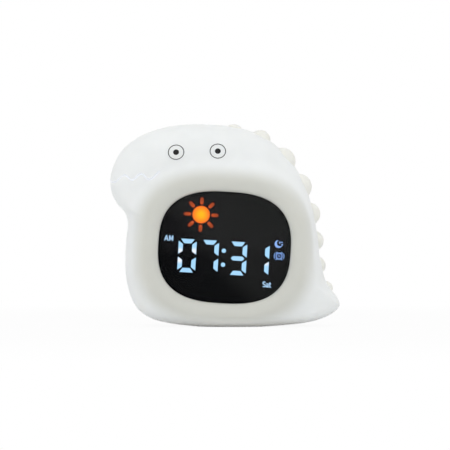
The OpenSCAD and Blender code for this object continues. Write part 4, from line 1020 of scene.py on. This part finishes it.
def make_display():
    """The window pane, the dark film behind it and the lit and unlit marks on the film."""
    window_a, window_b = DISPLAY_W / 2 + WINDOW_TUCK, DISPLAY_H / 2 + WINDOW_TUCK
    film_a, film_b = window_a - LEDGE_W + FILM_LAP, window_b - LEDGE_W + FILM_LAP
    steps = 160
    # Rings of the pane: inset of its edge, and depth
    rings = [(0.35, -WINDOW_FRONT), (0.1, -WINDOW_FRONT + 0.1), (0, -WINDOW_FRONT + 0.35),
             (0, -WINDOW_BACK - 0.2), (0.2, -WINDOW_BACK)]
    points, faces = [], []
    for inset, y in rings:
        points += [in_unit(x, y, z) for x, z in oval_points(window_a - inset, window_b - inset, steps)]
    for r in range(len(rings) - 1):
        near, far = r * steps, (r + 1) * steps
        faces += [(near + (k + 1) % steps, near + k, far + k, far + (k + 1) % steps) for k in range(steps)]
    faces += [tuple(range(steps)), tuple(range(len(rings) * steps - 1, (len(rings) - 1) * steps - 1, -1))]
    window = piece("window_pane", points, faces, FINISHES["window"])
    fix_normals(window)
    soften(window, 60)
    film = plate("display_film", [oval_points(film_a, film_b, steps)], -WINDOW_BACK + 0.06, -MASK_BACK,
                 FINISHES["mask_film"])
    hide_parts("display_window")
    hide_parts("display_mask")
    for thing in (window, film):
        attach(thing, "clock")

    blue = lit("lit_segment", srgb(169, 219, 255), srgb(255, 252, 255), LIT, HOT_SPOTS)
    pale = lit("lit_icon", srgb(140, 180, 252), srgb(150, 190, 255), LIT, [(*MOON_XZ, 4)])
    word = lit("lit_word", srgb(178, 216, 252), srgb(178, 216, 252), LIT, [])
    dark = moulded("unlit_segment", srgb(25, 31, 31), 0.6, 0.4, 0.002, specular_ior_level=0.05)
    sun = lit("lit_sun", srgb(255, 106, 24), srgb(255, 198, 0), LIT, [(*SUN_XZ, SUN_D * 0.56)])
    rays = lit("lit_rays", srgb(122, 44, 14), srgb(242, 100, 34), LIT, [(*SUN_XZ, RAY_OUT * 1.25)])
    proud = -WINDOW_BACK + 0.01
    back = -WINDOW_BACK + 0.09
    colon = [circle_points((COLON_X, DIGIT_Z + z), COLON_D / 2, 24) for z in COLON_Z]
    shapes = [
        place_in_unit(digit_bars("lit_segments", True, 0.06, blue), back),
        place_in_unit(digit_bars("unlit_segments", False, 0.04, dark), back),
        plate("lit_colon", colon, proud, back, blue),
        plate("lit_sun_disc", [circle_points(SUN_XZ, SUN_D / 2, 64)], proud, back, sun),
        plate("lit_moon", moon_outlines(MOON_XZ), proud, back, pale),
        plate("lit_bell", bell_outlines(ALARM_XZ), proud, back, pale),
        plate("lit_half_of_day", half_day_outlines(HALF_DAY_XZ), proud, back, word),
        plate("lit_weekday", weekday_outlines(WEEKDAY_XZ), proud, back, word),
        plate("lit_sun_rays", [ray_outline(k) for k in range(8)], proud, back, rays),
    ]
    for thing in shapes:
        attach(thing, "clock")


def ray_outline(k):
    """A bar with round ends that points away from the sun."""
    half = RAY_W / 2
    bend = np.linspace(-math.pi / 2, math.pi / 2, 10)
    tip = [(RAY_OUT - half + half * math.cos(t), half * math.sin(t)) for t in bend]
    foot = [(RAY_IN + half - half * math.cos(t), -half * math.sin(t)) for t in bend]
    turn = math.radians(45 * k)
    c, s = math.cos(turn), math.sin(turn)
    return [(SUN_XZ[0] + x * c - z * s, SUN_XZ[1] + x * s + z * c) for x, z in tip + foot]


# ------------------------------------------------------------------ carried-over pieces


def dress_nodes():
    """Every CAD node gets the finish of its slot."""
    for name, thing in frame["nodes"].items():
        thing.data.materials.clear()
        thing.data.materials.append(FINISHES[NODE_SLOT[name]])


def eased_copy(node, width, body="clock"):
    """A copy of a node with merged faces and eased edges, which stands for the node."""
    original = frame["nodes"][node]
    mesh = original.data.copy()
    mesh.name = node + "_eased"
    built = bmesh.new()
    built.from_mesh(mesh)
    bmesh.ops.remove_doubles(built, verts=built.verts, dist=0.002 * MM)
    bmesh.ops.dissolve_limit(built, angle_limit=math.radians(0.5), verts=built.verts, edges=built.edges)
    built.to_mesh(mesh)
    built.free()
    copy = bpy.data.objects.new(node + "_eased", mesh)
    bpy.context.scene.collection.objects.link(copy)
    if width:
        bevel = copy.modifiers.new("eased", "BEVEL")
        bevel.width = width * MM
        bevel.segments = 2
        bevel.limit_method = "ANGLE"
        bevel.angle_limit = math.radians(40)
        bevel.use_clamp_overlap = True
        apply_modifiers(copy)
    soften(copy, 35)
    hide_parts(node)
    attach(copy, body)


def make_rear():
    """The pieces that show at the back."""
    eased_copy("rear_housing", 0.25)
    for name in ("set", "alarm", "sound", "light", "minus", "plus"):
        eased_copy(name + "_button", 0, body=name + "_key")
    eased_copy("power_switch_knob", 0.2, body="power_knob")
    eased_copy("usb_port_shell", 0)
    eased_copy("usb_port_tongue", 0)


# ------------------------------------------------------------------ stage, lights and camera

CAMERA_FAR = 2.0
PIXELS = 450
MM_PER_PIXEL = 0.6536
CENTRE_X = 224.95
GROUND_Y = 325.8
# How far the floor shows as plain white under the object, the rest keeps the shadow
FLOOR_GLOW = 0.93
# The floor turns quite white between these distances from the object
FLOOR_FADE = (200, 600)
FLOOR_R = 8000
FLOOR_TONE = (0.9, 0.9, 0.9)
WORLD_LIGHT = 0.43
# Place in metres that every lamp is turned to
LIGHT_TARGET = (0, 0, 0.07)


def seen_ray(tree):
    """1 for a ray that shows the stage: from the camera, off a glossy face or through the window."""
    path = tree.nodes.new("ShaderNodeLightPath")
    seen = path.outputs["Is Camera Ray"]
    for kind in ("Is Glossy Ray", "Is Transmission Ray"):
        either = tree.nodes.new("ShaderNodeMath")
        either.operation = "MAXIMUM"
        tree.links.new(seen, either.inputs[0])
        tree.links.new(path.outputs[kind], either.inputs[1])
        seen = either.outputs[0]
    return seen


def floor_material(name, tone):
    """Pale floor that turns plain white away from the object."""
    finish = Finish(name, roughness=0.9, specular_ior_level=0.0)
    finish.feed("Base Color", finish.blend(finish.noise(300), tone, tuple(c * 0.99 for c in tone)))
    x, y, _ = finish.axes()
    away = (x ** 2 + y ** 2).root().ramp(*FLOOR_FADE) * (1 - FLOOR_GLOW) + FLOOR_GLOW
    seen = Number(finish, seen_ray(finish.tree))
    glow = finish.node("ShaderNodeEmission", None, {"Color": (1, 1, 1, 1), "Strength": 1.0})
    both = finish.node("ShaderNodeMixShader", None, {
        0: seen * away, 1: finish.shader.outputs["BSDF"], 2: glow.outputs["Emission"]})
    finish.tree.links.new(both.outputs[0], finish.output.inputs["Surface"])
    return finish.material


def make_stage():
    """Pale round floor, wide enough for a camera at any side."""
    rim = [(x, y, 0) for x, y in circle_points((0, 0), FLOOR_R, 64)]
    floor = piece("studio_floor", rim, [tuple(range(len(rim)))], floor_material("studio_white", FLOOR_TONE))


def make_world():
    """Soft light from all sides, which the camera sees as plain white."""
    world = bpy.data.worlds.new("studio")
    bpy.context.scene.world = world
    world.use_nodes = True
    tree = world.node_tree
    background = tree.nodes["Background"]
    background.inputs["Color"].default_value = (1, 1, 1, 1)
    strength = tree.nodes.new("ShaderNodeMapRange")
    strength.inputs["To Min"].default_value = WORLD_LIGHT
    strength.inputs["To Max"].default_value = 1
    tree.links.new(seen_ray(tree), strength.inputs["Value"])
    tree.links.new(strength.outputs["Result"], background.inputs["Strength"])


def area_light(name, place, size, power):
    """A white lamp that lights the object from a place in metres."""
    lamp = bpy.data.lights.new(name, "AREA")
    lamp.shape = "RECTANGLE"
    lamp.size, lamp.size_y = size
    lamp.energy = power
    thing = bpy.data.objects.new(name, lamp)
    toward = (Vector(LIGHT_TARGET) - Vector(place)).normalized()
    thing.rotation_euler = toward.to_track_quat("-Z", "Y").to_euler()
    thing.location = place
    thing.visible_camera = False
    bpy.context.scene.collection.objects.link(thing)


def make_lights():
    area_light("top_light", (0, -0.05, 1.3), (1.6, 1.4), 6.6)
    area_light("left_light", (-1.2, -0.1, 0.15), (1.2, 1.2), 4.8)
    area_light("right_light", (1.2, -0.1, 0.35), (1.2, 1.2), 3.2)
    area_light("front_card", (0.05, -1.6, 0.5), (1.5, 1.2), 7.7)


def make_camera():
    """A long lens at the height of the object's middle, at the photo's scale."""
    camera = bpy.data.cameras.new("camera")
    camera.sensor_width = 36
    width = PIXELS * MM_PER_PIXEL * MM
    camera.lens = camera.sensor_width * CAMERA_FAR / width
    camera.clip_end = 20
    thing = bpy.data.objects.new("camera", camera)
    height = (GROUND_Y - PIXELS / 2) * MM_PER_PIXEL * MM
    across = (PIXELS / 2 - CENTRE_X) * MM_PER_PIXEL * MM
    thing.location = (across, -CAMERA_FAR, height)
    thing.rotation_euler = (math.pi / 2, 0, 0)
    bpy.context.scene.collection.objects.link(thing)
    bpy.context.scene.camera = thing


make_camera()
dress_nodes()
make_eyes(make_cover())
make_display()
make_rear()
make_stage()
make_world()
make_lights()

bpy.context.scene.view_settings.view_transform = "Standard"
